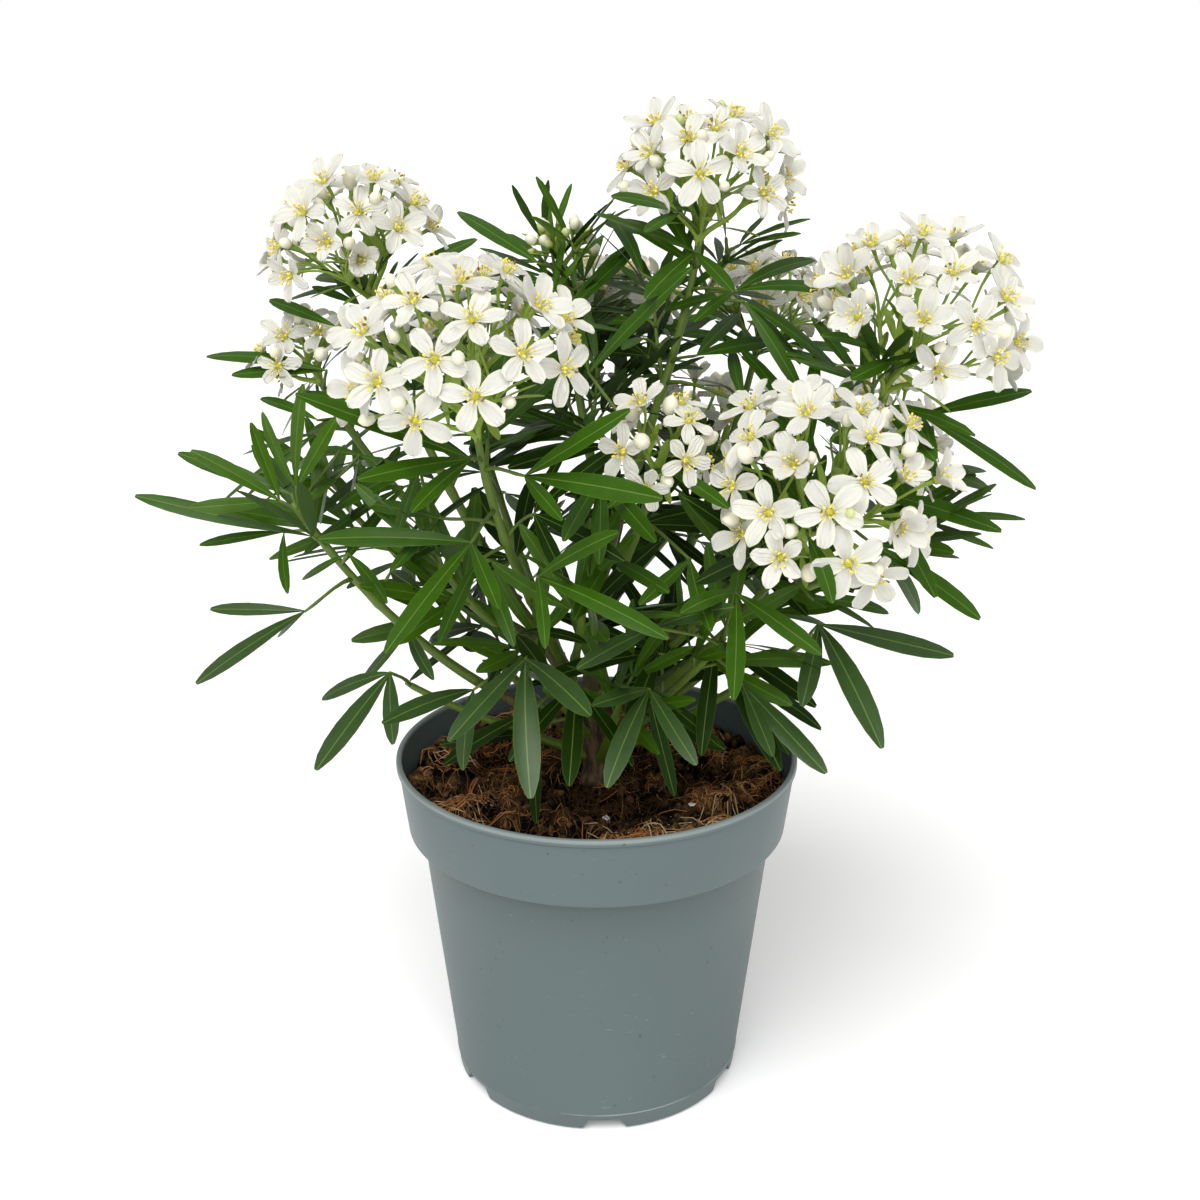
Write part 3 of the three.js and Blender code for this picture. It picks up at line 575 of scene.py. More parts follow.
def shoot_curve(shoot, start):
    """A shoot's line, from where it leaves its parent to its tip."""
    tip = place(*shoot.tip)
    away = math.degrees(math.atan2(tip[1] - start[1], tip[0] - start[0]))
    hold = STEM_HOLD * np.linalg.norm(tip - start)
    first = start + hold * heading(away, shoot.climb[0])
    second = tip - hold * heading(away, shoot.climb[1])
    return Curve(start, first, second, tip)


def measured(measure, age, young, dice, more=0):
    """A measure of one leaf. Its age is 0 on the shoot's top pair and 1 on the lowest."""
    top, lowest, early, stray = measure
    return dice.around(more + (early if young else mix(top, lowest, age)), stray)


def paired_leaves(shoot, curve, dice):
    """The leaves of a shoot, and the axils where the lower ones stand."""
    leaves, axils = [], []
    down = shoot.neck + (BELOW_BLOOM if shoot.bloom else BELOW_TIP)
    for pair in range(shoot.pairs):
        at = 1 - down / curve.length
        age = pair / (shoot.pairs - 1)
        young = not shoot.bloom and pair < YOUNG_PAIRS
        around = shoot.roll + 90 * pair + dice.around(0, PAIR_TWIST)
        down += dice.around(PAIR_SPACE + PAIR_GROWTH * pair, PAIR_SCATTER)
        for opposite in (0, 180):
            climb = measured(LEAF_CLIMB, age, young, dice, shoot.lift)
            growth = YOUNG_GROWTH * pair if young else 0
            length = shoot.scale * measured(LEAF_LENGTH, age, young, dice, growth)
            stalk = shoot.scale * measured(LEAF_STALK, age, young, dice)
            sink = measured(LEAF_SINK, age, young, dice)
            if at <= max(shoot.bare + BARE_MARGIN, shoot.shed):
                continue
            root = curve.point(at)
            out = on_cone(curve.tangent(at), around + opposite, climb)
            tone = YOUNG if young else leaf_tone(root + stalk * out)
            leaflets = 3 if young or dice_share(root) < THREES else 5
            leaves.append(Leaf(root, root + out * stalk, unit(out - UP * sink), length, leaflets, tone))
            if pair > 0:
                axils.append((root, out, curve.tangent(at)))
    return leaves, axils


def leaf_tone(hub):
    """Leaves far inside the crown take the darkest tone, which paints their shade, and those at its surface
    mostly the fresh one.
    """
    return GROWN if dice_share(hub) < (np.hypot(*hub[:2]) - 40) / 60 + (hub[2] - 140) / 80 else OLD_AND_SHADED


def dice_share(point):
    """A share from 0 to 1 that only a point's place decides, so that it changes no seeded draw."""
    return math.modf(abs(math.sin(point @ (12.9898, 78.233, 37.719)) * 43758.5453))[0]


def front_leaf(shoot, curve):
    """The leaf that hangs down in the middle of the front, on its own shoot only."""
    if shoot.name != "low_front":
        return []
    return [Leaf(curve.point(0.97), place(294, 49, 60), heading(300, -58), 42, 3, OLD_AND_SHADED, edge=True)]


def ruff(shoot, curve):
    """Small leaves just under a head, that stand up among its stalks."""
    leaves = []
    for i in range(RUFF_LEAVES if shoot.bloom and shoot.bloom.opened > 0 else 0):
        root = curve.point(1 - (2 + 2 * i) / curve.length)
        out = on_cone(curve.tangent(0.99), shoot.roll + 30 + GOLDEN_ANGLE * i, 48 - 5 * i)
        length = RUFF_LENGTH * shoot.bloom.spread
        leaves.append(Leaf(root, root + 7 * out, unit(out + 0.1 * UP), length, 3, GROWN, fan=30.0))
    return leaves


def shown_leaves(stems):
    """The leaves that the crown shows apart, each on the nearest stem."""
    points = np.array([stem.curve.point(at) for stem in stems for at in np.linspace(0.15, 0.98, 40)])
    leaves = []
    for hub, *aims in SHOWN_LEAVES:
        spot = place(*hub)
        root = points[np.argmin(np.linalg.norm(points + SHOWN_RISE * UP - spot, axis=1))]
        # Shown leaves low down take the lighter low tone, which is partly a painted sheen.
        tone = GROWN if spot[2] > SHOWN_LOW else LOW
        leaves.append(Leaf(root, spot, unit(spot - root), 50, 3, tone, edge=True, aims=tuple(aims)))
    return leaves


def is_wanted(leaf):
    """The crown's skirt is thin: of the low leaves far out, a third are kept. None crowds a shown one."""
    if leaf.edge or leaf.tone == YOUNG:
        return True
    if any(np.linalg.norm(place(*hub) - leaf.hub) < SHOWN_LEAF_ROOM for hub, *_ in SHOWN_LEAVES):
        return False
    return leaf.hub[2] > SKIRT * np.hypot(*leaf.hub[:2]) or dice_share(leaf.hub) < SKIRT_SHARE


def twig_leaves(stem, dice, chance):
    """Small leafy twigs in a shoot's axils: (curves, leaves)."""
    curves, leaves = [], []
    low, high = TWIG_ZONE
    for root, out, axis in stem.axils:
        drawn, reach = dice.next(), dice.around(30, 9)
        around, bend = dice.around(0, 90), dice.around(0.55, 0.2)
        if drawn > chance * np.clip((root[2] - low) / (high - low), 0, 1) and stem.shoot.name != "bud_top":
            continue
        toward = unit(out + 0.5 * axis)
        tip = root + reach * unit(toward + bend * UP)
        arrive = unit(toward + 2 * bend * UP)
        curve = Curve(root, root + 0.4 * reach * toward, tip - 0.4 * reach * arrive, tip)
        curves.append(curve)
        for pair, at in enumerate(TWIG_PAIRS):
            for opposite in (0, 180):
                climb = dice.around(58 - 14 * pair, 8)
                length = dice.around(27 + 6 * pair, 4)
                stalk = dice.around(5 + 2 * pair, 1)
                base = curve.point(at)
                way = on_cone(curve.tangent(at), around + 90 * pair + opposite, climb)
                tone = YOUNG if pair == 0 else GROWN
                leaves.append(Leaf(base, base + stalk * way, unit(way - 0.15 * pair * UP), length, 3, tone))
    return curves, leaves


def spiral(axis, count, past, turned=0.0):
    """Ways out from the middle of a dome, in a spiral from its top, with their tilts and heights."""
    for i in range(count):
        height = 1 - past * (i + 0.5) / count
        tilt = math.degrees(math.acos(height))
        yield on_cone(axis, GOLDEN_ANGLE * i + turned, 90 - tilt), tilt, height


def dome(shoot, curve):
    """A head's axis, and the middle of its dome."""
    axis = heading(*shoot.bloom.axis)
    return axis, curve.point(1) + DOME_RAISE * shoot.bloom.spread * axis


def dome_places(shoot, curve, count, turned, depth, stray, dice):
    """Places on a head's dome: the way out, the spot, and where its stalk leaves the stem."""
    axis, centre = dome(shoot, curve)
    spread = shoot.bloom.spread
    for out, tilt, height in spiral(axis, count, DOME_PAST, turned):
        spot = centre + spread * dice.around(depth, stray) * out - DOME_FLATTEN * spread * height * axis
        yield out, spot, curve.point(1 - DOME_ROOTS * spread * tilt / (90 * curve.length))


def flower_plans(shoot, curve, dice, seed):
    """The flowers of a head, by the rule of the solids. Those of the heads in front turn to the front."""
    bloom = shoot.bloom
    scale = mix(SMALLEST_FLOWER, 1, bloom.spread / WIDEST_HEAD)
    plans = []
    for out, spot, root in dome_places(shoot, curve, bloom.flowers, 0, 1, 0.06, dice):
        twist = dice.around(180 / PETALS, 180 / PETALS)
        opened = len(plans) < bloom.opened * bloom.flowers
        plans.append(Flower(spot, unit(out + DOME_LIFT * UP), twist, root, opened, scale))
    loosen(plans, seed)
    if heading(*bloom.axis)[1] < FRONT_AXIS:
        for flower in plans:
            backward = 0.3 if flower.face[1] > 0.1 else 1
            flower.face = unit(flower.face * (1, backward, 1) + (0, -0.3, 0))
    return plans


def loosen(flowers, seed):
    """Shifts and tilts flowers a little, so that no two of them sit alike."""
    draw = np.random.default_rng(seed)
    for flower in flowers:
        flower.spot = flower.spot + draw.uniform(-1.8, 1.8, 3) + draw.uniform(-2.4, 1.2) * flower.face
        flower.face = unit(flower.face + draw.normal(0, 0.2, 3))


def bud_plans(shoot, curve, dice):
    """Buds in the spaces between a head's flowers, some of them small and green."""
    bloom = shoot.bloom
    count = round(0.7 * bloom.flowers + 12 * (1 - bloom.opened))
    plans = []
    for out, spot, root in dome_places(shoot, curve, count, GOLDEN_ANGLE / 2, 1.02, 0.1, dice):
        scale = dice.around(0.82, 0.2) * mix(0.75, 1, bloom.opened)
        plans.append(Flower(spot, unit(out + DOME_LIFT * UP), 0, root, False, scale))
    return plans


@lru_cache(maxsize=1)
def grown_stems():
    """Every shoot, grown on from its parent."""
    curves = {"trunk": trunk_curve()}
    stems = []
    for seed, shoot in enumerate(SHOOTS, 1):
        curve = shoot_curve(shoot, curves[shoot.parent].point(shoot.at))
        curves[shoot.name] = curve
        dice = Dice(seed)
        leaves, axils = paired_leaves(shoot, curve, dice)
        flowers = []
        if shoot.bloom:
            flowers = flower_plans(shoot, curve, dice, seed) + bud_plans(shoot, curve, dice)
        foot = mix(*STEM_FOOT_RADIUS, min(1, curve.length / LONGEST_STEM))
        leaves = front_leaf(shoot, curve) + leaves + ruff(shoot, curve)
        stems.append(Stem(shoot, curve, foot, leaves, axils, flowers))
    return stems


# Meshes from arrays

class Batch:
    """Many small shapes that become one mesh. Points are in millimetres."""

    def __init__(self):
        self.points, self.corners, self.sizes, self.slots = [], [], [], []
        self.count = 0

    def add(self, points, *parts):
        """points: (copies, points of one copy, 3). parts: pairs of faces, (faces, corners), the same for
        every copy, and material slots: one, or one for each copy, or one for each copy's face."""
        copies, each = points.shape[:2]
        starts = self.count + each * np.arange(copies)
        for faces, slots in parts:
            self.corners.append((starts[:, None, None] + faces[None]).reshape(-1))
            self.sizes.append(np.full(copies * len(faces), faces.shape[1]))
            slots = np.asarray(slots)
            slots = slots[:, None] if slots.ndim == 1 else slots
            self.slots.append(np.broadcast_to(slots, (copies, len(faces))).reshape(-1))
        self.points.append(points.reshape(-1, 3))
        self.count += copies * each

    def to_object(self, name, materials, crease=180, offset=0.0):
        """The joined mesh as an object. Edges sharper than crease stay hard; offset lifts it in metres."""
        points = np.concatenate(self.points) * MM + (0, 0, offset)
        corners, sizes = np.concatenate(self.corners), np.concatenate(self.sizes)
        mesh = bpy.data.meshes.new(name)
        mesh.vertices.add(len(points))
        mesh.vertices.foreach_set("co", points.astype(np.float32).ravel())
        mesh.loops.add(len(corners))
        mesh.loops.foreach_set("vertex_index", corners.astype(np.int32))
        mesh.polygons.add(len(sizes))
        mesh.polygons.foreach_set("loop_start", (np.cumsum(sizes) - sizes).astype(np.int32))
        mesh.polygons.foreach_set("material_index", np.concatenate(self.slots).astype(np.int32))
        mesh.update(calc_edges=True)
        mesh.validate()
        mesh.polygons.foreach_set("use_smooth", np.ones(len(mesh.polygons), bool))
        if crease < 180:
            mesh.set_sharp_from_angle(angle=math.radians(crease))
        for material in materials:
            mesh.materials.append(material)
        made = bpy.data.objects.new(name, mesh)
        bpy.context.scene.collection.objects.link(made)
        return made


def settle(made, slot, *nodes):
    """The piece rides with the pot and stands for its solids. The slot argument is not used."""
    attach(made, "root")
    if nodes:
        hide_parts(*nodes)


def beads(spots, ways, steps):
    """Paths through many spots, each along its own way: (paths, steps, 3)."""
    return spots[:, None] + np.array(steps)[None, :, None] * ways[:, None]


def plant_piece(batch, name, finishes, settings, *nodes, crease=180, slot="foliage"):
    """A piece of the plant, which stands on the compost."""
    settle(batch.to_object(name, finishes, crease, settings.compost.level), slot, *nodes)


def gathered(things, name):
    """One value of each thing, as an array."""
    return np.array([getattr(thing, name) for thing in things])


def add_tubes(batch, paths, radii, sides, slots=0):
    """Closed tubes along paths (tubes, rings, 3). radii: (tubes, rings), or one for each side too."""
    paths, radii = np.asarray(paths, float), np.asarray(radii, float)
    tubes, rings = paths.shape[:2]
    if radii.ndim < 3:
        radii = np.broadcast_to(radii, (tubes, rings))[..., None]
    along = unit(np.gradient(paths, axis=1))
    first = across(along[:, 0])[0]
    angles = 2 * math.pi * np.arange(sides)[None, :, None] / sides
    points = np.empty((tubes, rings, sides, 3))
    for ring in range(rings):
        way = along[:, ring]
        first = unit(first - (first * way).sum(-1, keepdims=True) * way)
        spoke = np.cos(angles) * first[:, None] + np.sin(angles) * np.cross(way, first)[:, None]
        points[:, ring] = paths[:, ring, None] + radii[:, ring, :, None] * spoke
    ring, side = np.meshgrid(np.arange(rings - 1), np.arange(sides), indexing="ij")
    this, after = ring * sides + side, ring * sides + (side + 1) % sides
    walls = np.stack([this, after, after + sides, this + sides], -1).reshape(-1, 4)
    ends = np.array([np.arange(sides)[::-1], (rings - 1) * sides + np.arange(sides)])
    batch.add(points.reshape(tubes, -1, 3), (walls, slots), (ends, slots))


def bent(start, start_way, end, end_way, hold, rings):
    """Curved paths between many pairs of points: (paths, rings, 3)."""
    reach = hold * np.linalg.norm(end - start, axis=-1, keepdims=True)
    controls = (start, start + reach * start_way, end - reach * end_way, end)
    return cubic(np.linspace(0, 1, rings)[None, :, None], *(points[:, None] for points in controls))


@dataclass
class BladeShape:
    """A blade's outline: stations along it, its half-width there, and the columns of its upper face,
    in shares of that half-width. kinds says which part of a leaf each strip between columns is."""

    stations: np.ndarray
    widths: np.ndarray
    columns: np.ndarray
    kinds: np.ndarray


FACE, LINE, EDGE, BACK = range(4)


def blade_points(shape, base, along, side, length, half, droop, fold, curl, twist, keel, sweep=0.0):
    """Points of many blades, (blades, stations, columns + 1, 3). The last column is the lower keel.
    droop and sweep bend a blade down and sideways, in shares of its length; keel is its thickness."""
    t = shape.stations
    x = (shape.columns * shape.widths[:, None])[None] * half[:, None, None]
    y = np.tan(fold) * np.abs(x) - curl * x * x / half[:, None, None]
    face = np.cross(along, side)
    spin = twist[:, None, None] * t[None, :, None]
    sides = side[:, None] * np.cos(spin) + face[:, None] * np.sin(spin)
    faces = face[:, None] * np.cos(spin) - side[:, None] * np.sin(spin)
    sag = (droop * length)[:, None, None] * t[None, :, None] ** 2
    spine = base[:, None] + (length[:, None] * t)[..., None] * along[:, None] - sag * face[:, None]
    spine = spine + (sweep * length)[:, None, None] * t[None, :, None] ** 2 * side[:, None]
    upper = spine[:, :, None] + x[..., None] * sides[:, :, None] + y[..., None] * faces[:, :, None]
    thick = keel * np.sqrt(np.clip(shape.widths, 0.1, 1))[None, :, None]
    lower = spine - thick * faces
    return np.concatenate([upper, lower[:, :, None]], 2)


def add_blades(batch, shape, points, slots):
    """slots: (blades, 4) material slots of each blade's face, midrib, edge and back."""
    blades, stations, wide = points.shape[:3]
    row, column = np.meshgrid(np.arange(stations - 1), np.arange(wide - 2), indexing="ij")
    corner = (row * wide + column).reshape(-1)
    upper = np.stack([corner, corner + wide, corner + wide + 1, corner + 1], -1)
    left = np.arange(stations - 1) * wide
    keel, right = left + wide - 1, left + wide - 2
    lower = np.concatenate([np.stack([left, keel, keel + wide, left + wide], -1),
                            np.stack([keel, right, right + wide, keel + wide], -1)])
    kinds = np.concatenate([np.tile(shape.kinds, stations - 1), np.full(len(lower), BACK)])
    ends = np.array([np.arange(wide), (stations - 1) * wide + np.arange(wide)[::-1]])
    walls = np.concatenate([upper, lower])
    batch.add(points.reshape(blades, -1, 3), (walls, slots[:, kinds]), (ends, slots[:, BACK]))


# Materials

class Field:
    """A value over a surface: one node's output. Arithmetic on it adds Math nodes."""

    def __init__(self, finish, socket):
        self.finish = finish
        self.socket = socket

    def math(self, operation, first, second):
        return self.finish.node("ShaderNodeMath", {"operation": operation}, {0: first, 1: second})

    def __add__(self, other):
        return self.math("ADD", self, other)

    __radd__ = __add__

    def __sub__(self, other):
        return self.math("SUBTRACT", self, other)

    def __rsub__(self, other):
        return self.math("SUBTRACT", other, self)

    def __mul__(self, other):
        return self.math("MULTIPLY", self, other)

    __rmul__ = __mul__

    def __pow__(self, other):
        return self.math("POWER", self, other)


class Finish:
    """One material and its nodes."""

    def __init__(self, name):
        self.material = bpy.data.materials.new(name)
        self.material.use_nodes = True
        self.tree = self.material.node_tree
        self.tree.nodes.clear()

    def node(self, kind, settings=None, inputs=None, output=0):
        """A new node with its settings and inputs, as the field of one of its outputs."""
        made = self.tree.nodes.new(kind)
        for name, value in (settings or {}).items():
            setattr(made, name, value)
        for key, value in (inputs or {}).items():
            self.feed(made.inputs[key], value)
        return Field(self, made.outputs[output]) if made.outputs else None

    def feed(self, socket, value):
        """Links a field to a socket, or sets the socket's own value."""
        if isinstance(value, Field):
            self.tree.links.new(value.socket, socket)
        elif socket.type == "RGBA":
            socket.default_value = (*value, 1)
        else:
            socket.default_value = value

    def places(self, stretch=(1, 1, 1)):
        """Where each point is, in metres, stretched along each axis."""
        where = self.node("ShaderNodeTexCoord", output="Object")
        return self.node("ShaderNodeMapping", inputs={"Vector": where, "Scale": stretch})

    def noise(self, scale, detail=2.0, rough=0.5, stretch=(1, 1, 1)):
        """Noise from 0 to 1. scale is its finer or coarser grain, in waves to the metre."""
        inputs = {"Vector": self.places(stretch), "Scale": scale, "Detail": detail, "Roughness": rough}
        return self.node("ShaderNodeTexNoise", inputs=inputs)

    def reach(self):
        """Distance from the pot's axis, in metres."""
        return self.node("ShaderNodeVectorMath", {"operation": "LENGTH"}, {0: self.places((1, 1, 0))}, 1)

    def height(self):
        """Height above the floor, in metres."""
        where = self.node("ShaderNodeTexCoord", output="Object")
        return self.node("ShaderNodeSeparateXYZ", inputs={0: where}, output=2)

    def step(self, value, low, high):
        """0 below low, 1 above high, and smooth between."""
        inputs = {"Value": value, "From Min": low, "From Max": high}
        return self.node("ShaderNodeMapRange", {"interpolation_type": "SMOOTHSTEP"}, inputs)

    def patches(self, low, high, scale, detail=2.0, rough=0.5, stretch=(1, 1, 1)):
        """Noise that is drawn apart into patches."""
        return self.step(self.noise(scale, detail, rough, stretch), low, high)

    def blend(self, factor, first, second):
        """A colour between two."""
        inputs = {0: factor, 6: first, 7: second}
        return self.node("ShaderNodeMix", {"data_type": "RGBA"}, inputs, output=2)

    def mottled(self, cloud, colour, spread):
        """A colour that is a little darker and lighter from place to place."""
        return self.blend(cloud, tinted(colour, 1 - spread), tinted(colour, 1 + spread))

    def bump(self, height, depth, strength=1.0):
        """The surface direction that a relief gives."""
        inputs = {"Height": height, "Distance": depth, "Strength": strength}
        return self.node("ShaderNodeBump", inputs=inputs)

    def surface(self, sockets, glow=None, veil=0.0):
        """Ends the material. A thin surface is also lit through from behind: glow is the colour of that
        light, and veil is its share."""
        shader = self.node("ShaderNodeBsdfPrincipled", inputs=sockets)
        if glow:
            through = self.node("ShaderNodeBsdfTranslucent", inputs={"Color": glow})
            shader = self.node("ShaderNodeMixShader", inputs={0: veil, 1: shader, 2: through})
        self.node("ShaderNodeOutputMaterial", inputs={"Surface": shader})
        return self.material


def tinted(colour, factor):
    """A colour that is darker or lighter by a factor."""
    return tuple(min(1.0, part * factor) for part in colour)


def leaf_finish(name, colour, glow, shine, veil, gloss=0.25):
    """A leathery leaf: faint mottling, a soft sheen and fine bumps, and some light through it."""
    finish = Finish(name)
    base = finish.mottled(finish.noise(170, 3), colour, 0.22)
    rough = gloss + 0.16 * finish.noise(900)
    bump = finish.bump(finish.noise(1500), 0.0002, 0.35)
    sockets = {"Base Color": base, "Roughness": rough, "Normal": bump, "Specular IOR Level": shine}
    return finish.surface(sockets, tuple(glow), veil)


def soft_finish(name, colour, rough=0.55, mottle=0.06, bump=0.15, shine=0.5):
    """A bud, stalk or anther: nearly plain, with a faint grain."""
    finish = Finish(name)
    base = finish.mottled(finish.noise(420), colour, mottle)
    grain = finish.bump(finish.noise(2600, 1), 0.0001, bump)
    return finish.surface({"Base Color": base, "Roughness": rough, "Normal": grain,
                           "Specular IOR Level": shine})


def petal_finish(name, colour, veil):
    """A petal: nearly plain, and lit through from behind."""
    finish = Finish(name)
    base = finish.mottled(finish.noise(420), colour, 0.03)
    return finish.surface({"Base Color": base, "Roughness": 0.6}, tuple(colour), veil)


def pot_finish(pot):
    """Moulded plastic: satin, with faint clouds, scuffs, specks of dirt and the mould's broken line, and
    painted light: a darker body under the collar as painted shade, a painted shadow just under the collar and
    a painted highlight on the lip.
    """
    finish = Finish("pot_plastic")
    cloud, height = finish.noise(14, 3), finish.height()
    foot, line = pot.height - pot.collar_height, pot.mould_line
    collar = finish.step(height, foot - 0.001, foot + 0.001)
    # Under the collar the body takes the darker colour, which is painted shade.
    grey = finish.blend(collar, pot.shaded_body_colour, finish.mottled(cloud, pot.colour, 0.07))
    # A darker band just under the collar's lower edge: a painted shadow cast by the collar.
    shade = finish.step(height, foot - 0.03, foot - 0.002) * (1 - finish.step(height, foot - 0.001, foot))
    grey = finish.blend(0.4 * shade, grey, tinted(pot.shaded_body_colour, 0.7))
    # A lighter band round the top of the lip, in the worn colour: a painted highlight.
    lip_highlight = finish.step(height, pot.height - 0.002, pot.height - 0.001)
    grey = finish.blend(0.45 * lip_highlight, grey, pot.worn_and_lip_highlight_colour)
    scratches = finish.patches(0.62, 0.7, 130, 4, 0.7, (1, 1, 7)) * finish.patches(0.52, 0.62, 24)
    mould = finish.step(height, line - 0.0004, line) * (1 - finish.step(height, line + 0.0002, line + 0.0006))
    scuffs = 0.3 * scratches + 0.45 * mould * finish.patches(0.42, 0.6, 45, 3)
    grey = finish.blend(scuffs, grey, pot.worn_and_lip_highlight_colour)
    specks = finish.patches(0.73, 0.77, 420, 1) * finish.patches(0.46, 0.6, 31)
    grey = finish.blend(0.7 * specks, grey, tinted(pot.colour, 0.3))
    dust = finish.patches(0.77, 0.81, 700, 1) * finish.patches(0.5, 0.6, 40)
    grey = finish.blend(0.4 * dust, grey, tinted(pot.worn_and_lip_highlight_colour, 1.2))
    grain = finish.bump(finish.noise(1400), 0.0002, 0.12)
    rough = 0.38 + 0.14 * cloud + 0.25 * scuffs
    return finish.surface({"Base Color": grey, "Roughness": rough, "Normal": grain})


def crumbly(finish, base, dark, cloud, grain, shine):
    """Ends a crumbly material that is darker round the trunk, a painted shadow of the crown, and lighter
    towards the rim.
    """
    # Near the trunk the colour is pulled towards dark: a painted shadow of the crown; the share called dry is
    # where it fades out.
    dry = finish.step(finish.reach() + 0.02 * finish.noise(50), 0.038, 0.078)
    base = finish.blend(0.5 * (1 - dry), base, tinted(dark, 0.5))
    bump = finish.bump(finish.noise(grain, 5, 0.7), 0.0012, 0.9)
    return finish.surface({"Base Color": base, "Roughness": 0.95 - 0.2 * cloud, "Normal": bump,
                           "Specular IOR Level": shine})


def crumb_finish(name, dark, brown):
    """Moist crumbs, mottled between two browns."""
    finish = Finish(name)
    cloud = finish.patches(0.36, 0.66, 500, 5, 0.65)
    return crumbly(finish, finish.blend(cloud, dark, brown), dark, cloud, 1500, 0.15)


def compost_finish(compost):
    """Compost that is near black in its hollows, which is painted shade, and brown on its mounds."""
    finish = Finish("compost")
    # Lower down in the hollows the compost turns near black: painted shade.
    rise = finish.step(finish.height(), compost.level - 0.9 * compost.hollows, compost.level + 0.001)
    cloud = finish.patches(0.36, 0.66, 230, 5, 0.68)
    brown = finish.blend(cloud, compost.dark, tinted(compost.brown, 0.7))
    brown = finish.blend(finish.patches(0.4, 0.55, 48), tinted(compost.dark, 0.6), brown)
    base = finish.blend(rise, tinted(compost.dark, 0.35), brown)
    return crumbly(finish, base, compost.dark, cloud, 700, 0.1)


def bark_finish(stem):
    """Thin bark, furrowed along the limb, that turns olive green as it goes up."""
    finish = Finish("bark")
    furrows = finish.patches(0.38, 0.6, 420, 4, 0.6, (1, 1, 0.25))
    rise = finish.step(finish.height() + 0.035 * finish.noise(70, 3), 0.172, 0.222)
    base = finish.blend(rise, finish.blend(furrows, stem.furrow, stem.bark), stem.olive)
    bump = finish.bump(furrows * (1 - 0.7 * rise), 0.0006, 0.8)
    return finish.surface({"Base Color": base, "Roughness": 0.82 - 0.25 * rise, "Normal": bump})


def floor_finish(stage):
    """A matt pale floor that glows faintly, painted light that lifts the shadows on it."""
    finish = Finish("pale_floor")
    base = finish.blend(finish.noise(2), tinted(stage.floor_colour, 0.99), stage.floor_colour)
    # The floor's faint emission is painted light: it lifts the shadows on the floor.
    return finish.surface({"Base Color": base, "Roughness": 0.9, "Emission Color": (1.0, 1.0, 1.0),
                           "Emission Strength": 0.1})


# Pot

POT_SECTORS = 144
NOTCHES = 6
NOTCH_TURN = 3
NOTCH_WIDTH = 0.019
NOTCH_SLANT = 0.003
NOTCH_HEIGHT = 0.0045
FOOT_CHANNEL = (0.034, 0.037, 0.054, 0.057)
FOOT_DEPTH = 0.0045
DRAIN_RADIUS = 0.005
DRAIN_AT = 0.046
DRAIN_LENGTH = 0.02
POT_CREASE = 34


def rounded(corner, before, after, radius, steps=4):
    """A profile's corner, rounded between its two neighbours."""
    corner, before, after = (np.array(point, float) for point in (corner, before, after))
    start, end = corner + radius * unit(before - corner), corner + radius * unit(after - corner)
    t = np.linspace(0, 1, steps + 1)[:, None]
    return [tuple(point) for point in (1 - t) ** 2 * start + 2 * (1 - t) * t * corner + t * t * end]


def pot_profile(pot):
    """The pot's section, as (radius, height), from the middle of its underside round to its floor."""
    shoulder = pot.height - pot.collar_height
    neck = pot.height - pot.lip_height
    groove = 0.0004
    slope = (pot.waist - pot.foot) / shoulder
    line = pot.mould_line
    inner, channel_in, channel_out, outer = FOOT_CHANNEL
    floor = pot.wall
    raised = FOOT_DEPTH + pot.wall

    def body(z):
        return pot.foot + slope * z

    sharp = [
        ((0.0, 0.0), 0),
        ((inner, 0.0), 0.0006),
        ((channel_in, FOOT_DEPTH), 0.001),
        ((channel_out, FOOT_DEPTH), 0.001),
        ((outer, 0.0), 0.0006),
        ((pot.foot, 0.0), 0.001),
        ((body(line - 0.0004), line - 0.0004), 0),
        ((body(line) + 0.00025, line), 0),
        ((body(line + 0.0004), line + 0.0004), 0),
        ((pot.waist, shoulder), 0.0006),
        ((pot.collar_foot, shoulder), 0.0008),
        ((pot.collar_top, neck - groove), 0.0002),
        ((pot.collar_top - groove, neck - 0.5 * groove), 0.0002),
        ((pot.lip_radius, neck), 0.0007),
        ((pot.lip_radius, pot.height), 0.0011),
        ((pot.lip_radius - pot.lip_width, pot.height), 0.0009),
        ((pot.collar_top - pot.wall, neck), 0.0006),
        ((pot.collar_foot - pot.wall, shoulder + pot.wall), 0.001),
        ((pot.waist - pot.wall, shoulder + pot.wall), 0.001),
        ((body(raised) - pot.wall, raised), 0.001),
        ((channel_in, raised), 0.001),
        ((inner - 0.001, floor), 0.001),
        ((0.0, floor), 0),
    ]
    points = []
    for i, (corner, radius) in enumerate(sharp):
        if radius == 0:
            points.append(corner)
        else:
            points += rounded(corner, sharp[i - 1][0], sharp[i + 1][0], radius)
    return np.array(points)


def notch_angles():
    """The angle of each notch's middle."""
    return [math.radians(360 * i / NOTCHES - 90 + NOTCH_TURN) for i in range(NOTCHES)]


def notch_columns(foot_radius):
    """The angles of the pot's columns, and how far each lifts the foot's ring, from 0 to 1."""
    half, slant = 0.5 * NOTCH_WIDTH / foot_radius, NOTCH_SLANT / foot_radius
    angles = [2 * math.pi * i / POT_SECTORS for i in range(POT_SECTORS)]
    for middle in notch_angles():
        angles += [middle + side * offset for side in (-1, 1) for offset in (half, half - slant)]
    angles = np.array(sorted({round(angle % (2 * math.pi), 6) for angle in angles}))
    gaps = (angles[:, None] - np.array(notch_angles()) + math.pi) % (2 * math.pi) - math.pi
    return angles, np.clip((half - np.abs(gaps).min(1)) / slant, 0, 1)


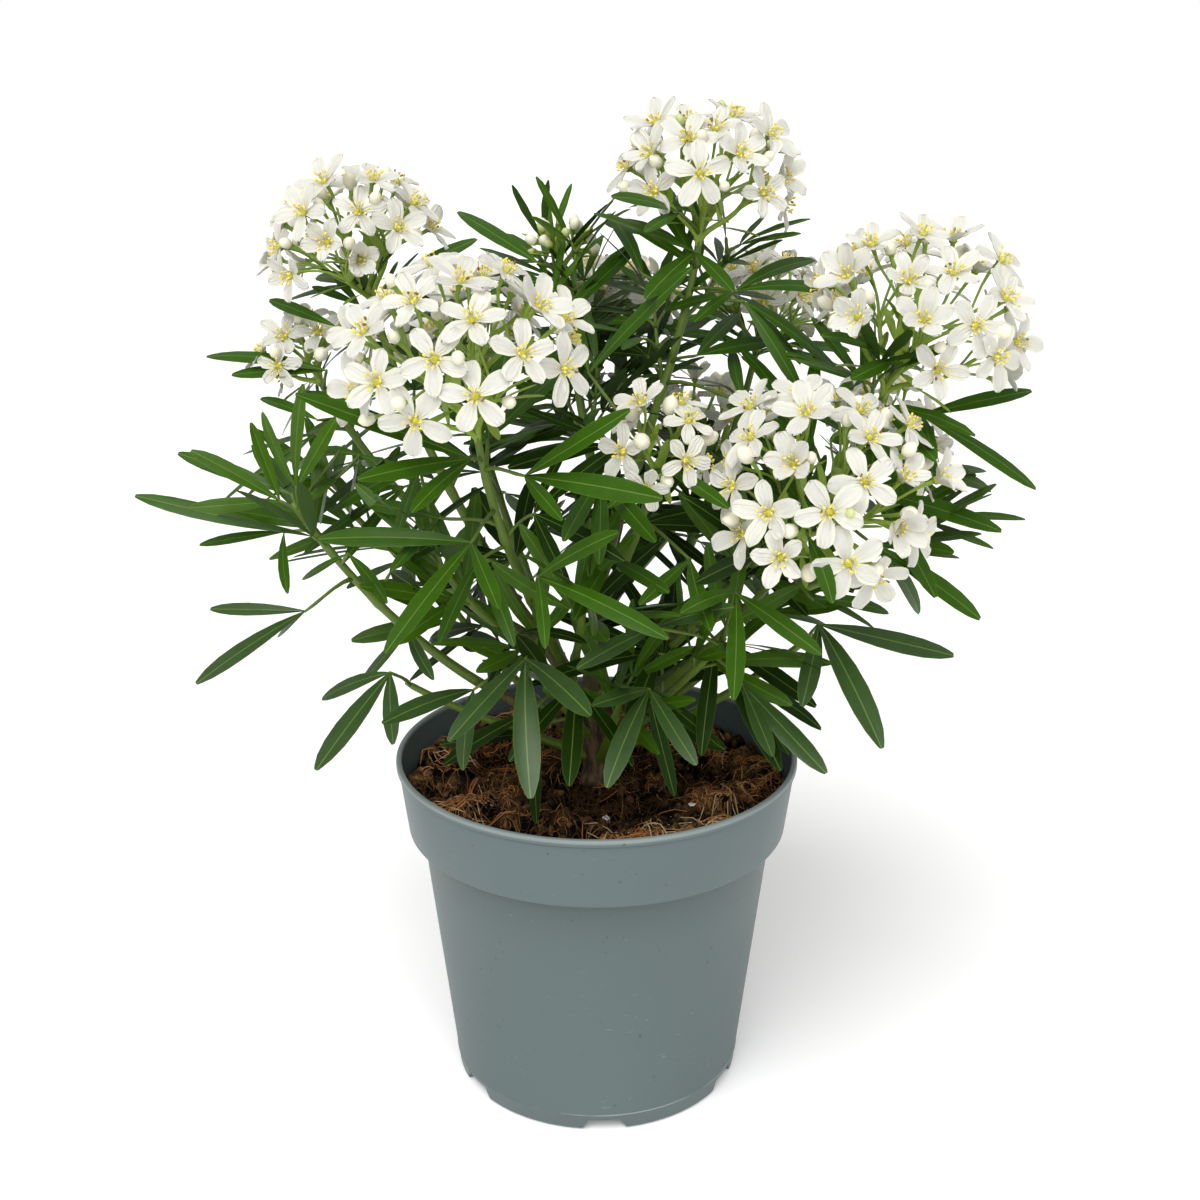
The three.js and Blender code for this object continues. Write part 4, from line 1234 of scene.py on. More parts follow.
def lathe(batch, profile, angles):
    """A closed body of revolution. The profile, (points, 2) or one for each angle, starts and ends on
    the axis."""
    rings = np.broadcast_to(profile, (len(angles), *profile.shape[-2:]))
    inner = rings[:, 1:-1]
    spokes = np.stack([np.cos(angles), np.sin(angles)], -1)
    flat = inner[..., :1] * spokes[:, None]
    points = np.concatenate([flat, inner[..., 1:]], -1).reshape(-1, 3)
    poles = np.array([[0, 0, rings[0, 0, 1]], [0, 0, rings[0, -1, 1]]])
    count = inner.shape[1]
    column, row = np.meshgrid(np.arange(len(angles)), np.arange(count - 1), indexing="ij")
    after = (column + 1) % len(angles)
    quads = np.stack([column * count + row, after * count + row, after * count + row + 1,
                      column * count + row + 1], -1).reshape(-1, 4)
    first = count * np.arange(len(angles))
    then = np.roll(first, -1)
    low = np.full(len(angles), len(points))
    fans = np.concatenate([np.stack([low, then, first], -1),
                           np.stack([low + 1, first + count - 1, then + count - 1], -1)])
    batch.add(np.concatenate([points, poles])[None] / MM, (quads, 0), (fans, 0))


def bored(made):
    """The pot with its drain holes cut through its floor."""
    batch = Batch()
    reach = 0.5 * DRAIN_LENGTH / MM
    for around in notch_angles():
        x, y = DRAIN_AT * math.cos(around) / MM, DRAIN_AT * math.sin(around) / MM
        add_tubes(batch, [[(x, y, -reach), (x, y, reach)]], DRAIN_RADIUS / MM, 24)
    drill = batch.to_object("drill", [])
    cut = made.modifiers.new("drain_holes", "BOOLEAN")
    cut.operation = "DIFFERENCE"
    cut.solver = "EXACT"
    cut.object = drill
    evaluated = made.evaluated_get(bpy.context.evaluated_depsgraph_get())
    finished = bpy.data.meshes.new_from_object(evaluated)
    made.modifiers.clear()
    made.data = finished
    bpy.data.objects.remove(drill)
    finished.set_sharp_from_angle(angle=math.radians(POT_CREASE))
    return made


def make_pot(settings):
    """The pot, with the foot's ring lifted at the notches."""
    pot = settings.pot
    profile = pot_profile(pot)
    angles, lifts = notch_columns(pot.foot)
    shaped = np.repeat(profile[None], len(angles), 0)
    foot = (profile[:, 0] > FOOT_CHANNEL[2]) & (profile[:, 1] < NOTCH_HEIGHT)
    lifted = np.maximum(shaped[..., 1], lifts[:, None] * NOTCH_HEIGHT)
    shaped[..., 1] = np.where(foot, lifted, shaped[..., 1])
    batch = Batch()
    lathe(batch, shaped, angles)
    settle(bored(batch.to_object("pot_shell", [pot_finish(pot)])), "pot", "pot")


# Compost

COMPOST_WAVES = 26
COMPOST_RINGS = 60
COMPOST_SECTORS = 160
COMPOST_GAP = 0.0003
LONGEST_WAVE = 46
HOLLOW = (-6, -34)
HOLLOW_RADIUS = 19
FIBRE_POINTS = 7
FIBRES_IN_TUFT = 12
SEEN_PERLITE = ((65, 1), (4, -36))


@lru_cache(maxsize=1)
def compost_waves():
    """Seeded waves: direction and length, phase, and height."""
    draw = np.random.default_rng(7)
    lengths = LONGEST_WAVE * 0.88 ** np.arange(COMPOST_WAVES)
    angles = draw.uniform(0, 2 * math.pi, COMPOST_WAVES)
    waves = 2 * math.pi * np.stack([np.cos(angles), np.sin(angles)], -1) / lengths[:, None]
    return waves, draw.uniform(0, 2 * math.pi, COMPOST_WAVES), (lengths / LONGEST_WAVE) ** 0.8


def compost_height(spots, hollows):
    """Height of the compost over its level at (..., 2) spots, in millimetres."""
    waves, phases, heights = compost_waves()
    mounds = (np.sin(spots @ waves.T + phases) * heights).sum(-1) / 2.2
    dip = np.exp(-((np.linalg.norm(spots - HOLLOW, axis=-1) / HOLLOW_RADIUS) ** 2))
    return np.clip(hollows * (mounds - 0.9 * dip), -1.5 * hollows, 0.8 * hollows) - 0.45 * hollows


def bed(compost, spots):
    """Height of the compost's surface at spots, in millimetres above the floor."""
    return compost.level / MM + compost_height(spots, compost.hollows / MM)


def ledge_height(pot):
    """Height of the ledge inside the pot, over its collar's lower edge."""
    return pot.height - pot.collar_height + pot.wall


def inside_radius(pot, z):
    """Inner radius of the pot at a height."""
    ledge = ledge_height(pot)
    if z > ledge:
        up = (z - ledge) / (pot.collar_height - pot.wall)
        return mix(pot.collar_foot, pot.collar_top, up) - pot.wall
    return mix(pot.foot, pot.waist, z / ledge) - pot.wall


def make_compost(settings):
    """The bed of compost, down to the pot's floor, and the fibres and crumbs on it."""
    pot, compost = settings.pot, settings.compost
    gap = COMPOST_GAP
    edge = inside_radius(pot, compost.level) - gap
    angles = 2 * math.pi * np.arange(COMPOST_SECTORS) / COMPOST_SECTORS
    reaches = edge * np.linspace(0, 1, COMPOST_RINGS + 1)[::-1]
    spokes = np.stack([np.cos(angles), np.sin(angles)], -1)
    spots = reaches[None, :, None] * spokes[:, None] / MM
    tops = compost.level + MM * compost_height(spots, compost.hollows / MM)
    ledge, floor = ledge_height(pot), pot.wall + gap
    raised = FOOT_DEPTH + floor
    low = [(0, floor), (FOOT_CHANNEL[0] - 0.004, floor), (FOOT_CHANNEL[0] - gap, raised),
           (inside_radius(pot, raised) - gap, raised), (inside_radius(pot, ledge) - gap, ledge + gap),
           (pot.collar_foot - pot.wall - gap, ledge + gap)]
    below = np.broadcast_to(np.array(low), (len(angles), len(low), 2))
    surface = np.stack([np.broadcast_to(reaches, tops.shape), tops], -1)
    batch = Batch()
    lathe(batch, np.concatenate([below, surface], 1), angles)
    settle(batch.to_object("compost", [compost_finish(compost)]), "soil", "soil")
    settle(make_fibres(compost, edge / MM), "soil")
    settle(make_crumbs(compost, edge / MM), "soil")


def scattered(draw, count, edge):
    """Seeded spots spread evenly over the compost."""
    reach, around = edge * np.sqrt(draw.uniform(0, 1, count)), draw.uniform(0, 2 * math.pi, count)
    return np.stack([reach * np.cos(around), reach * np.sin(around)], -1)


def strands(draw, compost, edge, count, tufts, length, curl, rise):
    """Curled fibres that lie in tufts on the compost: (fibres, points, 3)."""
    tuft = draw.integers(0, tufts, count)
    spots = scattered(draw, tufts, edge - 1.5)[tuft] + draw.normal(0, 3.2, (count, 2))
    way = draw.uniform(0, 2 * math.pi, tufts)[tuft] + draw.normal(0, 0.6, count)
    bend = draw.normal(0, curl, tufts)[tuft] + draw.normal(0, 0.5 * curl, count)
    stride = draw.uniform(*length, count) / (FIBRE_POINTS - 1)
    paths = [spots]
    for _ in range(FIBRE_POINTS - 1):
        way = way + bend + draw.normal(0, 0.3 * curl, count)
        spots = spots + stride[:, None] * np.stack([np.cos(way), np.sin(way)], -1)
        paths.append(spots)
    paths = np.stack(paths, 1)
    paths = paths * np.minimum(1, (edge - 1) / np.linalg.norm(paths, axis=-1, keepdims=True))
    arch = np.sin(np.linspace(0, math.pi, FIBRE_POINTS))[None] * draw.uniform(0, rise, count)[:, None]
    lean = np.linspace(-0.5, 0.5, FIBRE_POINTS)[None] * draw.uniform(-rise, rise, count)[:, None]
    return np.concatenate([paths, (bed(compost, paths) + 0.2 + arch + lean)[..., None]], -1)


def make_fibres(compost, edge):
    """Coir fibres, most of them short, curled and brown, and a few long pale ones. Fibres low in the hollows
    and near the trunk take darker tones, which is painted shade.
    """
    draw = np.random.default_rng(11)
    batch = Batch()
    tufts = compost.fibres // FIBRES_IN_TUFT
    short = strands(draw, compost, edge, compost.fibres, tufts, (5, 16), 0.34, 2.4)
    thickness = draw.uniform(0.12, 0.3, (compost.fibres, 1))
    # Fibres lower in the hollows and nearer the trunk get the darker finishes: painted shade.
    rise = (short[:, 0, 2] - compost.level / MM) * MM / compost.hollows + draw.normal(0, 0.35, compost.fibres)
    rise = rise - 0.9 * np.clip(1.8 - np.linalg.norm(short[:, 0, :2], axis=1) / 36, 0, 1)
    add_tubes(batch, short, thickness, 3, np.digitize(rise, (-0.75, -0.15, 0.45)))
    long = strands(draw, compost, edge, compost.strands, compost.strands, (14, 34), 0.2, 3.4)
    # Long strands near the trunk take the darker red tone: a painted shadow of the crown.
    inner = np.linalg.norm(long[:, 0, :2], axis=1) < 50
    add_tubes(batch, long, 0.2, 4, np.where(inner, 2, 4))
    red = [part * factor for part, factor in zip(compost.brown, (0.8, 0.64, 0.5))]
    finishes = [soft_finish("coir_in_shade", tinted(compost.brown, 0.14), 0.8, shine=0.1),
                soft_finish("coir_dark", tinted(compost.brown, 0.4), 0.8, shine=0.1),
                soft_finish("coir_red", red, 0.8, shine=0.1),
                soft_finish("coir_brown", tinted(compost.brown, 1.08), 0.8, shine=0.1),
                soft_finish("coir_pale", compost.pale, 0.7, shine=0.2)]
    return batch.to_object("coir_fibres", finishes)


def lumps(draw, spots, heights, sizes):
    """Irregular grains: (grains, 12, 3) from a jittered icosahedron, and its faces."""
    gold = (1 + math.sqrt(5)) / 2
    corners = [(0, a, b * gold) for a in (-1, 1) for b in (-1, 1)]
    corners += [(y, z, x) for x, y, z in corners] + [(z, x, y) for x, y, z in corners]
    corners = np.array(corners, float)
    faces = []
    for i, j, k in combinations(range(12), 3):
        a, b, c = corners[[i, j, k]]
        if max(np.linalg.norm(a - b), np.linalg.norm(b - c), np.linalg.norm(c - a)) < 2.1:
            outward = np.dot(np.cross(b - a, c - a), a) > 0
            faces.append((i, j, k) if outward else (i, k, j))
    shape = unit(corners)[None] * draw.uniform(0.7, 1.25, (len(spots), 12, 1))
    shape = shape * sizes[:, None, None] * draw.uniform(0.55, 1.3, (len(spots), 1, 3))
    return shape + np.concatenate([spots, heights[:, None]], -1)[:, None], np.array(faces)


def make_crumbs(compost, edge):
    """Crumbs of bark and peat, and a few white grains."""
    draw = np.random.default_rng(23)
    batch = Batch()
    spots = scattered(draw, compost.crumbs, edge - 2.5)
    sizes = np.minimum(draw.gamma(2.2, 0.42, compost.crumbs) + 0.35, 2.6)
    points, faces = lumps(draw, spots, bed(compost, spots) + 0.15 * sizes, sizes)
    batch.add(points, (faces, draw.integers(0, 3, compost.crumbs)))
    grains = scattered(draw, compost.perlite, edge - 6)
    grains[:len(SEEN_PERLITE)] = SEEN_PERLITE
    points, faces = lumps(draw, grains, bed(compost, grains) + 1.4, np.linspace(2.6, 0.8, len(grains)))
    batch.add(points, (faces, 3))
    dark, brown = tuple(compost.dark), compost.brown
    finishes = [crumb_finish("peat_crumb", tinted(dark, 0.5), dark),
                crumb_finish("bark_crumb", dark, tinted(brown, 0.3)),
                crumb_finish("coir_crumb", tinted(brown, 0.2), tinted(brown, 0.6)),
                soft_finish("perlite", linear(226, 224, 216), 0.8, 0.1, 0.6)]
    return batch.to_object("compost_crumbs", finishes, 40)


# Trunk, boughs and stems

LIMB_SIDES = 20
LIMB_RING = 1.6
TRUNK_SIDES = 40
TRUNK_RINGS = 44
STEM_SIDES = 10
STEM_RING = 3
TWIG_RINGS = 8


def bark_radii(radius, rings, sides, relief, seed):
    """Radii of a furrowed limb, (rings, sides): ridges that wander along it, and soft knobs."""
    draw = np.random.default_rng(seed)
    angle = 2 * math.pi * np.arange(sides)[None] / sides
    run = np.linspace(0, 1, rings)[:, None]
    ridges = np.zeros((rings, sides))
    for turns in (3, 5, 8, 11):
        drift, waves = draw.uniform(0, 6.3, 2), draw.uniform(5, 13)
        ridges += np.sin(turns * angle + drift[0] + 1.4 * np.sin(waves * run + drift[1])) / turns ** 0.5
    knobs = np.sin(draw.uniform(14, 22) * run + draw.uniform(0, 6.3)) * np.sin(angle + draw.uniform(0, 6.3))
    return radius[:, None] + relief * (0.7 * ridges + 0.8 * knobs)


def make_bark(settings):
    """The trunk and the boughs as one woody piece with the bark's relief."""
    relief = settings.stem.relief / MM
    batch = Batch()
    run = np.linspace(0, 1, TRUNK_RINGS)
    path = trunk_curve().point(run)
    path[0, 2] -= 2.5
    path[-1] += 1.5 * UP
    radii = trunk_radius(run)
    radii[-2:] *= (0.92, 0.55)
    radii = bark_radii(radii, TRUNK_RINGS, TRUNK_SIDES, relief, 3)
    add_tubes(batch, path[None], radii[None], TRUNK_SIDES)
    for seed, stem in enumerate(grown_stems(), 40):
        bare, length = stem.shoot.bare, stem.curve.length
        if bare > 0:
            rings = max(8, round(bare * length / LIMB_RING))
            along = np.linspace(0, bare, rings)
            collar = 1 + 0.45 * np.exp(-((along * length / 9) ** 2))
            radii = settings.stem.slim * stem.radius(along) * collar
            radii = bark_radii(radii, rings, LIMB_SIDES, 0.45 * relief, seed)
            add_tubes(batch, stem.curve.point(along)[None], radii[None], LIMB_SIDES)
    finishes = [bark_finish(settings.stem)]
    plant_piece(batch, "bark_limbs", finishes, settings, "trunk", *BOUGH_NODES, slot="bark")


def make_stems(settings):
    """The green stems above the boughs, with a slight swelling where each leaf pair stands."""
    batch = Batch()
    for stem in grown_stems():
        shoot, curve = stem.shoot, stem.curve
        rings = max(14, round((1 - shoot.bare) * curve.length / STEM_RING))
        along = np.linspace(shoot.bare * 0.985, 1, rings)
        radii = stem.radius(along)
        for root, _, _ in stem.axils:
            away = np.linalg.norm(curve.point(along) - root, axis=1)
            radii = radii * (1 + 0.11 * np.exp(-((away / 2.6) ** 2)))
        radii[-1] *= 0.6
        add_tubes(batch, curve.point(along)[None], 1.12 * settings.stem.slim * radii[None], STEM_SIDES)
    for curve in plant_foliage().twigs:
        path = curve.point(np.linspace(0, 1, TWIG_RINGS))
        add_tubes(batch, path[None], np.linspace(1.0, 0.65, TWIG_RINGS), 7)
    finish = soft_finish("green_stem", settings.stem.green, 0.5, 0.14, 0.3)
    plant_piece(batch, "green_stems", [finish], settings)


# Leaves

LEAF_STATIONS = np.array([0, 0.1, 0.25, 0.42, 0.6, 0.76, 0.89, 0.965, 1])
LEAF_TIP = 0.2
LEAF_BASE = 0.07
USUAL_LENGTH = 48


def leaf_shape(half, rib, margin, stations):
    """A narrow leaflet, widest past its middle, with a midrib and a margin on its upper face."""
    widths = stations ** 0.9 * (1 - stations) ** 0.56
    widths = np.maximum(widths / widths.max(), LEAF_BASE)
    widths[-1] = LEAF_TIP
    line = np.minimum(0.4, 0.5 * rib / (half * widths))
    edge = 1 - np.minimum(0.3, margin / widths)
    middle = 0.5 * (line + edge)
    ones = np.ones(len(stations))
    columns = np.stack([-ones, -edge, -middle, -line, line, middle, edge, ones], 1)
    return BladeShape(stations, widths, columns, np.array([EDGE, FACE, FACE, LINE, FACE, FACE, EDGE]))


# Leaflets of a leaf: each one's turn, in shares of the leaf's fan, and its length beside the middle one's
FANS = {3: ((-1, 0.86), (0, 1.0), (1, 0.86)),
        5: ((-1.75, 0.62), (-0.9, 0.88), (0, 1.0), (0.9, 0.88), (1.75, 0.62))}
LEAN_OUT = 0.25
LEAN_TO_LIGHT = np.array([-0.05, -0.34, 0.0])
FAR_LEFT = -96
BROADEST_AT = 54

# Room, in millimetres: from flowers, for a shown leaf and for others; over the solids' box; and in the pot
FLOWER_ROOM = (5.0, 7.5)
OVER_BOX = 6
POT_WALL = (79, 87.5)
COMPOST_REACH = 83


@dataclass
class Leaflets:
    """Many leaflets as arrays, one row each."""

    base: np.ndarray
    along: np.ndarray
    side: np.ndarray
    length: np.ndarray
    half: np.ndarray
    tone: np.ndarray
    leaf: np.ndarray
    room: np.ndarray


def breadth(leaf):
    """How broad a shown leaf is beside the usual: narrow out at the left, broad low down in front."""
    if leaf.hub[0] < FAR_LEFT:
        return 0.84
    return 1.2 if leaf.tone == LOW else 1


def aimed_leaflets(leaf, light, width, draw):
    """The leaflets of a shown leaf: direction, side, length and half-width."""
    for azimuth, climb, length in leaf.aims:
        along = heading(azimuth, climb)
        half = 0.5 * width * min(length, BROADEST_AT) * draw.uniform(0.9, 1.04) * breadth(leaf)
        yield along, unit(np.cross(light, along)), length, half


def fanned_leaflets(leaf, light, width, draw):
    """The leaflets of any other leaf, fanned out in its own plane."""
    side = unit(np.cross(light, leaf.toward))
    face = np.cross(leaf.toward, side)
    for turned, scale in FANS[leaf.leaflets]:
        angle = math.radians(leaf.fan * turned + draw.normal(0, 3))
        along = math.cos(angle) * leaf.toward + math.sin(angle) * side
        along = unit(along + draw.normal(0, 0.05) * face)
        half = 0.5 * width * leaf.length * scale ** 0.5 * draw.uniform(0.9, 1.12)
        yield along, unit(np.cross(face, along)), leaf.length * scale * draw.uniform(0.93, 1.05), half


def spread_leaflets(leaves, width, draw):
    """The leaflets of many leaves, which turn a little to the light."""
    rows = []
    for index, leaf in enumerate(leaves):
        outward = unit(leaf.hub * (1, 1, 0) + 1e-6)
        roll = draw.normal(0, 0.22, 3) * (0.3 if leaf.edge else 1)
        light = unit(UP + LEAN_OUT * outward + LEAN_TO_LIGHT * (2.6 if leaf.aims else 1.4) + roll)
        spread = aimed_leaflets if leaf.aims else fanned_leaflets
        room = FLOWER_ROOM[0 if leaf.aims else 1]
        for along, side, length, half in spread(leaf, light, width, draw):
            rows.append((leaf.hub, along, side, length, half, leaf.tone, index, room))
    return Leaflets(*(np.array(column) for column in zip(*rows)))


def leaflet_points(settings, leaflets, shape, draw):
    """Points of every leaflet, folded along its midrib, arched and a little twisted."""
    count = len(leaflets.length)
    droop = draw.normal(0.14, 0.06, count)
    twist = draw.normal(0, 0.2, count)
    fold = draw.normal(settings.leaf.fold, 0.07, count)[:, None, None]
    return blade_points(shape, leaflets.base, leaflets.along, leaflets.side, leaflets.length, leaflets.half,
                        droop, fold, 0.2, twist, settings.leaf.thickness / MM, draw.normal(0, 0.05, count))


def is_clear(points, room, settings, flowers):
    """Which blades keep inside the plant's reach and out of the pot, the compost and the blossom."""
    level, rim = settings.compost.level / MM, settings.pot.height / MM
    placed = points.reshape(len(points), -1, 3) + (0, 0, level)
    low, high = (np.array(corner) / MM for corner in CAD_BOX)
    inside = ((placed > low - OVER_BOX) & (placed < high + OVER_BOX)).all((1, 2))
    reach, height = np.linalg.norm(placed[..., :2], axis=-1), placed[..., 2]
    in_wall = (height < rim + 1) & (reach > POT_WALL[0]) & (reach < POT_WALL[1])
    in_compost = (height < level + 1.5) & (reach < COMPOST_REACH)
    sparse = points[:, 2::3, 3].reshape(len(points), -1, 1, 3)
    blossom = (np.linalg.norm(sparse - flowers[None, None], axis=-1) < room[:, None, None]).any((1, 2))
    return inside & ~in_wall.any(1) & ~in_compost.any(1) & ~blossom


@dataclass
class Foliage:
    """The plant's leaves in two sets, those on the shoots and those on the small twigs: the leaflets'
    shape, tones and points, and the leaves that bear them. twigs are the small twigs' curves."""

    sets: list
    twigs: list


@lru_cache(maxsize=1)
def plant_foliage():
    """Leaves, leaflets and their points, with those that would touch something left out."""
    settings = bpy.context.scene.orange_blossom
    leaf = settings.leaf
    stems = grown_stems()
    flowers = np.array([flower.spot for stem in stems for flower in stem.flowers])
    twigs, small = [], []
    for seed, stem in enumerate(stems, 200):
        curves, leaves = twig_leaves(stem, Dice(seed), leaf.twigs)
        twigs += curves
        small += leaves
    main = [each for stem in stems for each in stem.leaves if is_wanted(each)] + shown_leaves(stems)
    sets = []
    for seed, leaves, stations in ((5, main, LEAF_STATIONS), (6, small, LEAF_STATIONS[::2])):
        draw = np.random.default_rng(seed)
        shape = leaf_shape(0.5 * leaf.width * USUAL_LENGTH, leaf.rib / MM, leaf.margin, stations)
        leaflets = spread_leaflets(leaves, leaf.width, draw)
        points = leaflet_points(settings, leaflets, shape, draw)
        keep = is_clear(points, leaflets.room, settings, flowers)
        kept = [leaves[i] for i in sorted(set(leaflets.leaf[keep].tolist()))]
        sets.append((shape, leaflets.tone[keep], points[keep], kept))
    return Foliage(sets, twigs)


def make_leaves(settings):
    """The leaflets: a face, a pale midrib and a pale edge in each tone, and one tone behind."""
    leaf = settings.leaf
    # The first tone darkens leaves deep inside the crown: painted shade.
    tones = (("leaf_old_and_shaded", leaf.old, 0.06, 0.05), ("leaf_grown", leaf.grown, 0.18, 0.14),
             ("leaf_young", leaf.young, 0.2, 0.2), ("leaf_low", leaf.low, 0.3, 0.08))
    parts = (("", 0), ("_rib", 0.38), ("_edge", 0.12))
    finishes = []
    for part, paler in parts:
        for name, colour, shine, veil in tones:
            shade = mix(np.array(colour), np.array(leaf.line), paler)
            finishes.append(leaf_finish(name + part, shade, leaf.glow, shine, veil))
    finishes.append(leaf_finish("leaf_under", leaf.under, leaf.glow, 0.12, 0.12, 0.55))
    names = (("leaves_of_shoots", FOLIAGE_NODES), ("leaves_of_twigs", ()))
    for (name, nodes), (shape, tone, points, _) in zip(names, plant_foliage().sets):
        batch = Batch()
        behind = np.full(len(tone), len(tones) * len(parts))
        slots = np.stack([tone, tone + len(tones), tone + 2 * len(tones), behind], 1)
        add_blades(batch, shape, points, slots)
        plant_piece(batch, name, finishes, settings, *nodes, crease=62)


def make_leaf_stalks(settings):
    """A thin stalk for every leaf, from its stem to its hub."""
    batch = Batch()
    for _, _, _, leaves in plant_foliage().sets:
        roots, hubs, towards = (gathered(leaves, name) for name in ("root", "hub", "toward"))
        paths = bent(roots, unit(unit(hubs - roots) + 0.3 * UP), hubs + 0.6 * towards, towards, 0.36, 6)
        add_tubes(batch, paths, (1.15, 0.85, 0.7, 0.66, 0.72, 0.5), 6)
    finish = soft_finish("leaf_stalk", tinted(settings.stem.green, 0.9), 0.5, 0.12, 0.2)
    plant_piece(batch, "leaf_stalks", [finish], settings)


# Blossom

PETAL_STATIONS = np.array([0, 0.14, 0.32, 0.5, 0.68, 0.84, 0.95, 1])
PETAL_COLUMNS = 9
PETAL_FOOT = 0.9
HALF_SHUT = 0.16
SPENT_ANTHERS = 0.06
FLOWERS_ON_RAY = 3.4
STALK_RINGS = 8
FORK_SHARE = 0.5
BUD_DEPTH = 3.4
GREEN_BUD = 0.66


def petal_shape():
    """An obovate petal, narrow at its foot and round at its end."""
    t = PETAL_STATIONS
    widths = t ** 0.78 * (1 - t) ** 0.42
    widths = np.maximum(widths / widths.max(), 0.24)
    widths[-1] = 0.16
    columns = np.tile(np.linspace(-1, 1, PETAL_COLUMNS), (len(t), 1))
    return BladeShape(t, widths, columns, np.full(PETAL_COLUMNS - 1, FACE))


def head_flowers(opened):
    """Every open flower, or every bud, with their spots and faces as arrays."""
    flowers = [each for stem in grown_stems() for each in stem.flowers if each.opened == opened]
    return flowers, gathered(flowers, "spot"), gathered(flowers, "face")


def make_petals(settings):
    """Five pleated petals for each open flower. Some flowers are still half shut."""
    blossom = settings.blossom
    draw = np.random.default_rng(31)
    flowers, spots, faces = head_flowers(True)
    count = len(flowers)
    first, second = across(faces)
    cups = draw.normal(blossom.cup, 0.16, count) + 0.5 * (draw.uniform(0, 1, count) < HALF_SHUT)
    sizes = draw.uniform(0.86, 1.06, count) * gathered(flowers, "scale")
    twists = np.radians(gathered(flowers, "twist"))
    rows = []
    for petal in range(PETALS):
        angle = (twists + 2 * math.pi * petal / PETALS + draw.normal(0, 0.06, count))[:, None]
        cup = (cups + draw.normal(0, 0.08, count))[:, None]
        radial = np.cos(angle) * first + np.sin(angle) * second
        way = np.cos(cup) * radial + np.sin(cup) * faces
        normal = np.cos(cup) * faces - np.sin(cup) * radial
        length = blossom.petal_length / MM * sizes * draw.uniform(0.94, 1.04, count)
        rows.append((spots + PETAL_FOOT * radial, way, np.cross(normal, way), length))
    base, along, side, length = (np.concatenate(part) for part in zip(*rows))
    count = len(length)
    half = 0.5 * blossom.petal_width / blossom.petal_length * length
    droop, twist = draw.normal(0.22, 0.08, count), draw.normal(0, 0.14, count)
    fold, curl = draw.normal(0.26, 0.1, (count, 1, 1)), draw.normal(0.2, 0.1, (count, 1, 1))
    shape = petal_shape()
    points = blade_points(shape, base, along, side, length, half, droop, fold, curl, twist, 0.25)
    points = points + draw.normal(0, 0.13, (*points.shape[:2], 1, 3)) + draw.normal(0, 0.08, points.shape)
    ridges = np.append(np.tile([1, -1], PETAL_COLUMNS)[:PETAL_COLUMNS], 0) * blossom.pleats / MM
    points = points + ridges[None, None, :, None] * np.cross(along, side)[:, None, None]
    batch = Batch()
    add_blades(batch, shape, points, np.tile([0, 0, 0, 1], (count, 1)))
    # The back face has its own lighter colour, painted light on the shaded undersides.
    finishes = [petal_finish("petal", blossom.petal, blossom.petal_veil),
                petal_finish("brightened_petal_back", blossom.brightened_petal_back, blossom.petal_veil)]
    plant_piece(batch, "petals", finishes, settings, crease=70)


def make_flower_hearts(settings):
    """Stamens with their anthers, and the pistil and disc in the middle of each flower."""
    blossom = settings.blossom
    draw = np.random.default_rng(37)
    flowers, spots, faces = head_flowers(True)
    count = len(flowers)
    first, second = across(faces)
    stamens, hearts = Batch(), Batch()
    reach = blossom.stamen_length / MM
    for stamen in range(blossom.stamens):
        angle = (2 * math.pi * stamen / blossom.stamens + draw.normal(0, 0.12, count))[:, None]
        radial = np.cos(angle) * first + np.sin(angle) * second
        way = unit(faces + draw.normal(0.42, 0.14, count)[:, None] * radial)
        length = (reach * (0.8 if stamen % 2 else 1.05) * draw.uniform(0.85, 1.1, count))[:, None]
        foot, tip = spots + 1.1 * radial - 0.2 * faces, spots + 1.1 * radial + length * way
        paths = np.stack([foot, 0.5 * (foot + tip) + 0.25 * radial, tip], 1)
        add_tubes(stamens, paths, (0.3, 0.2, 0.14), 3)
        anther = unit(way + 0.6 * draw.normal(0, 1, (count, 3)))
        dry = (draw.uniform(0, 1, count) < SPENT_ANTHERS).astype(int)
        add_tubes(stamens, beads(tip, anther, (-0.8, -0.45, 0.35, 0.8)), (0.12, 0.46, 0.46, 0.12), 4, 1 + dry)
    pistils = beads(spots, faces, (-1.0, -0.1, 0.7, 1.3, 1.9, 2.2, 4.4, 4.7))
    add_tubes(hearts, pistils, (0.7, 1.5, 1.45, 1.1, 0.6, 0.3, 0.26, 0.5), 8)
    finishes = [soft_finish("filament", blossom.filament, 0.5),
                soft_finish("anther", blossom.anther, 0.7, 0.12),
                soft_finish("anther_dry", blossom.anther_dry, 0.8, 0.12)]
    plant_piece(stamens, "stamens", finishes, settings)
    plant_piece(hearts, "flower_hearts", [soft_finish("flower_heart", blossom.heart, 0.5, 0.15)], settings)


def make_buds(settings):
    """Buds: round ones about to open, and small green ones."""
    blossom = settings.blossom
    buds, spots, faces = head_flowers(False)
    lengths = blossom.bud_length / MM * gathered(buds, "scale")
    rise = np.array([-0.5, -0.42, -0.2, 0.08, 0.3, 0.44, 0.5])
    thick = np.array([0.08, 0.2, 0.34, 0.37, 0.29, 0.14, 0.03])
    paths = spots[:, None] + (lengths[:, None] * rise)[..., None] * faces[:, None]
    green = (lengths < GREEN_BUD * blossom.bud_length / MM).astype(int)
    batch = Batch()
    add_tubes(batch, paths, lengths[:, None] * thick, 10, green)
    finishes = [soft_finish("bud", blossom.bud, 0.5, 0.05),
                soft_finish("green_bud", blossom.bud_green, 0.5, 0.08)]
    plant_piece(batch, "flower_buds", finishes, settings)


